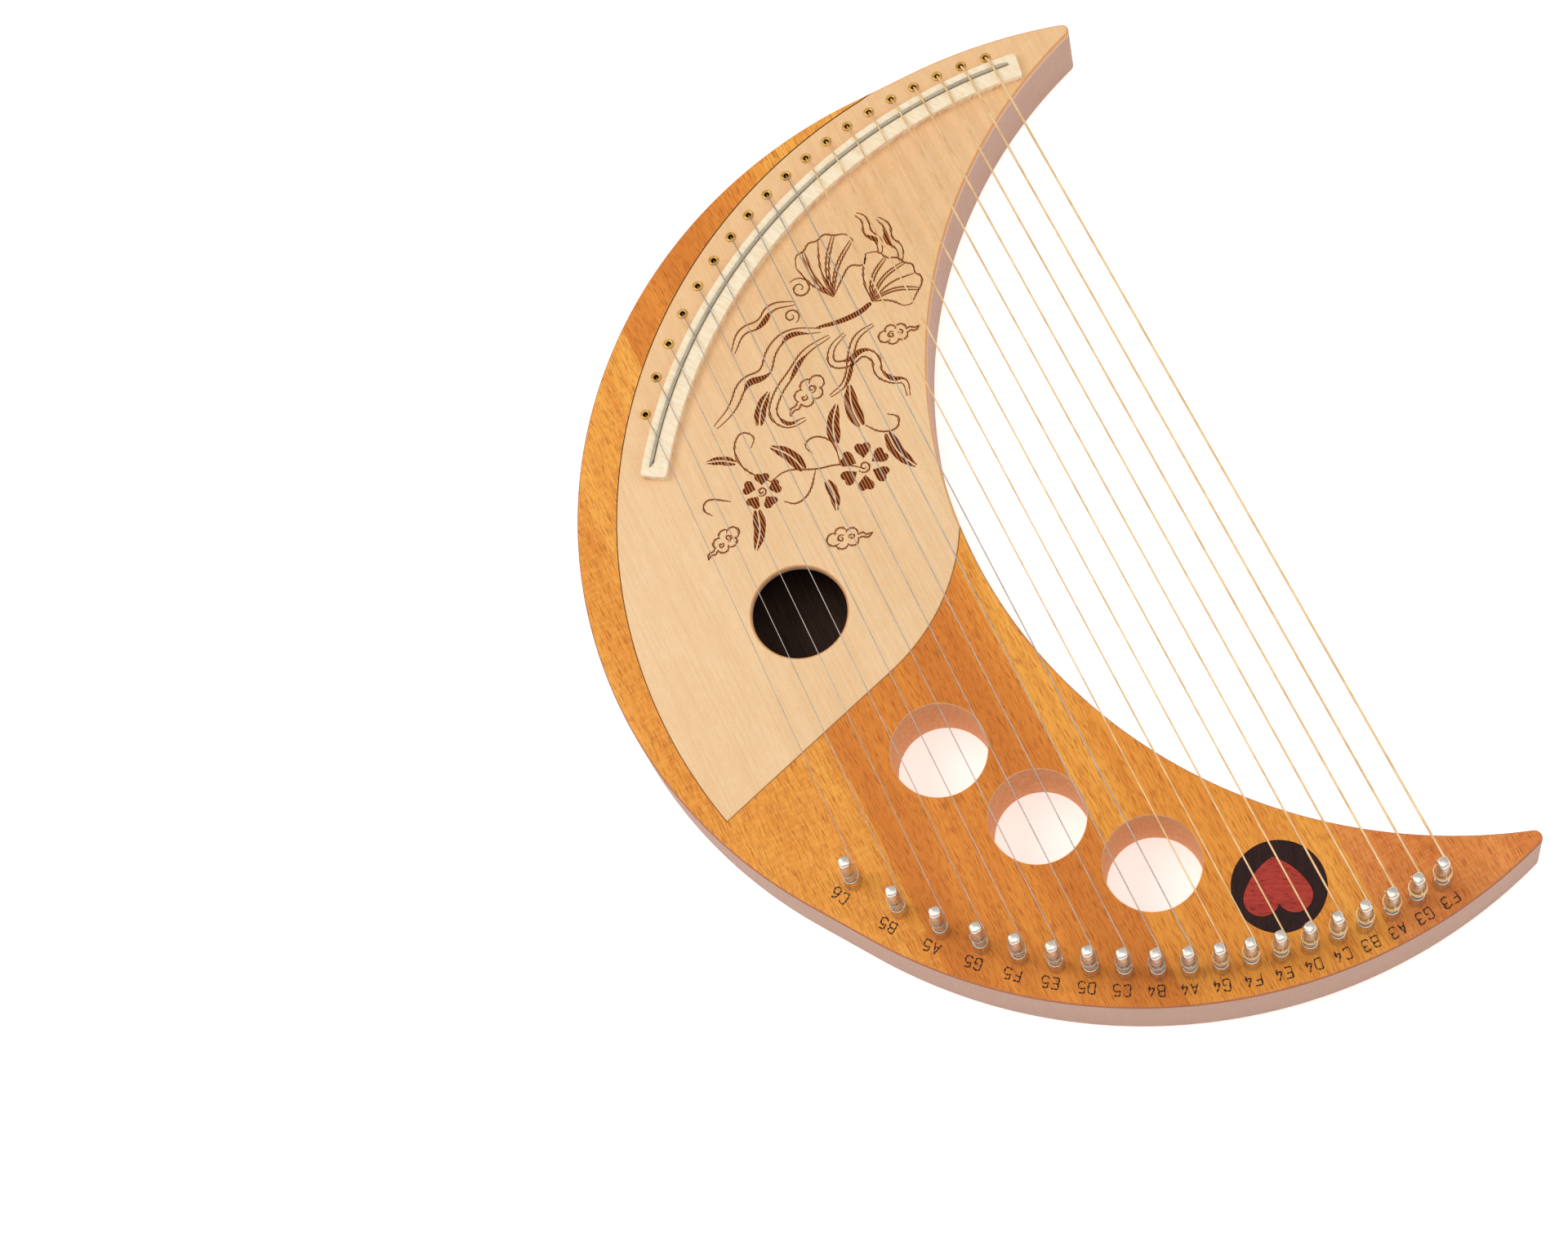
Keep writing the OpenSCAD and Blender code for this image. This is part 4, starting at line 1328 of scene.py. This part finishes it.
bronze_wound = string_wire(
    "bronze_winding", paint(247, 214, 162), paint(220, 176, 120), 0.42, 0.45, 0.34
)
plain_steel = string_wire(
    "drawn_steel", paint(190, 182, 174), paint(164, 156, 148), 1.6, 0.85, 0.26
)
for k, (note, (fx, fy), pin, turned) in enumerate(zip(notes, ferrule_cs, pin_cs, pin_turns)):
    radius = string_d(k) / 2
    wrap_r = PIN_R + COIL_FIT + radius
    rise = string_d(k) * COIL_PITCH
    end_z = body_h + HOLE_RISE - 1
    sweep = 360 * COIL_TURNS - turned
    start_z = end_z - rise * COIL_TURNS
    edge_y = bend_y(BRIDGE_C, BRIDGE_R_OUT, fx)
    saddle_y = bend_y(BRIDGE_C, SADDLE_R, fx)
    lean = BRIDGE_R_OUT / (BRIDGE_C[1] - edge_y)
    off = radius + LIFT
    half_saddle = SADDLE_W / 2 + 0.1
    crown = bridge_top + SADDLE_PROUD + radius + 0.05
    route = rounded([
        (fx, fy, ANCHOR_Z),
        (fx, fy, body_h - 0.6),
        (fx, fy + 0.25, body_h + 0.7),
        (fx, edge_y - lean * off, bridge_top - 0.3),
        (fx, edge_y - lean * off * 0.7, bridge_top + off * 0.7),
        (fx, edge_y + lean * 0.6, bridge_top + off),
        (fx, saddle_y - lean * half_saddle, crown),
        (fx, saddle_y + lean * half_saddle, crown),
        (*polar(pin, wrap_r, 180), start_z),
    ], CORNER_BEND)[:-1]
    wound = k < WOUND
    coil_from = len(route)
    steps = round(sweep / 360 * COIL_STEPS)
    for step in range(steps + 1):
        share = step / steps
        sag = COIL_WANDER * math.sin(2 * math.pi * share * sweep / 360 + k)
        route.append((
            *polar(pin, wrap_r, 180 - sweep * share),
            start_z + (end_z - start_z) * share + sag * rise * 0.5,
        ))
    hole_z = body_h + HOLE_RISE
    way_in = 90 + turned
    route += [
        (*polar(pin, wrap_r - 0.1, way_in - 14), hole_z - 0.45),
        (*polar(pin, wrap_r - 0.5, way_in - 6), hole_z - 0.1),
        (*polar(pin, PIN_R - 0.2, way_in), hole_z),
    ]
    thin = COIL_THIN if wound else 1.0
    string = wire(f"wire_{note}", route, radius, coil_from, thin)
    metal = bronze_wound if wound else plain_steel
    fit(string, metal, corner=60)
    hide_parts("string_" + note)
    length = draw.uniform(*TAIL)
    swing = draw.uniform(-TAIL_SWING, TAIL_SWING)
    tail_route = [
        (*polar(pin, 1.0, way_in), hole_z),
        (*polar(pin, PIN_R * 0.5, way_in + 180), hole_z),
        (*polar(pin, PIN_R + 0.4, way_in + 180), hole_z),
        (*polar(pin, PIN_R + length, way_in + 180 + swing), hole_z + draw.uniform(-TAIL_RISE, TAIL_RISE)),
    ]
    tail = wire(f"cut_end_{note}", tail_route, min(radius * thin, HOLE_R - HOLE_PLAY))
    fit(tail, metal, "pin_" + note, corner=60)

# ------------------------------------------------------------------ studio
# A white table lit by three soft boxes and a white room. The camera looks down from the
# tuning-pin side.
TARGET = (0.0715, -0.0176, 0.032)
CAMERA_AZIMUTH = 176.36
CAMERA_ELEVATION = 69.06
CAMERA_ROLL = -22.97
CAMERA_AWAY = 1.4167
LENS = 82.37
SENSOR = 36


def seen_from(azimuth, elevation, distance, target=TARGET):
    """The place that far from the target, azimuth 0 being at -Y."""
    a = math.radians(azimuth)
    e = math.radians(elevation)
    way = Vector((math.sin(a) * math.cos(e), -math.cos(a) * math.cos(e), math.sin(e)))
    return Vector(target) + way * distance


def aimed(thing, way, roll=0.0):
    """Turns a camera or a lamp to face along a direction."""
    thing.rotation_mode = "QUATERNION"
    spin = Matrix.Rotation(math.radians(roll), 4, "Z").to_quaternion()
    thing.rotation_quaternion = way.to_track_quat("-Z", "Y") @ spin


camera_data = bpy.data.cameras.new("camera")
camera_data.lens = LENS
camera_data.sensor_width = SENSOR
camera_data.clip_start = 0.05
camera_data.clip_end = 20
camera = placed(bpy.data.objects.new("camera", camera_data))
camera.location = seen_from(CAMERA_AZIMUTH, CAMERA_ELEVATION, CAMERA_AWAY)
aimed(camera, Vector(TARGET) - camera.location, CAMERA_ROLL)
bpy.context.scene.camera = camera


def soft_box(name, azimuth, elevation, distance, size, watts):
    light = bpy.data.lights.new(name, "AREA")
    light.shape = "RECTANGLE"
    light.size = size[0]
    light.size_y = size[1]
    light.energy = watts
    lamp = placed(bpy.data.objects.new(name, light))
    lamp.location = seen_from(azimuth, elevation, distance, (0, 0, 0))
    aimed(lamp, -lamp.location)


soft_box("key", 60, 55, 1.9, (1.2, 1.0), 11)
soft_box("fill", 250, 40, 2.2, (1.6, 1.0), 6)
soft_box("top", 180, 84, 2.0, (0.9, 0.9), 4)

ROOM_LIGHT = 0.6
TABLE_GLOW = 0.46
world = bpy.data.worlds.new("studio")
world.use_nodes = True
room = world.node_tree.nodes["Background"].inputs
room["Color"].default_value = (1, 1, 1, 1)
room["Strength"].default_value = ROOM_LIGHT
bpy.context.scene.world = world
bpy.context.scene.view_settings.view_transform = "Standard"

table = bmesh.new()
bmesh.ops.create_grid(table, x_segments=1, y_segments=1, size=6)
table_mesh = bpy.data.meshes.new("table")
table.to_mesh(table_mesh)
table.free()
floor = placed(bpy.data.objects.new("table", table_mesh))
white, place = start_finish("white_table")
cloth = place.noise(40, 2, 0.5)
end_finish(white, {
    "Base Color": cloth.mix((0.92, 0.92, 0.92, 1), (0.95, 0.95, 0.95, 1)), "Roughness": 0.9,
    "Emission Color": (1, 1, 1, 1), "Emission Strength": TABLE_GLOW,
})
floor.data.materials.append(white)
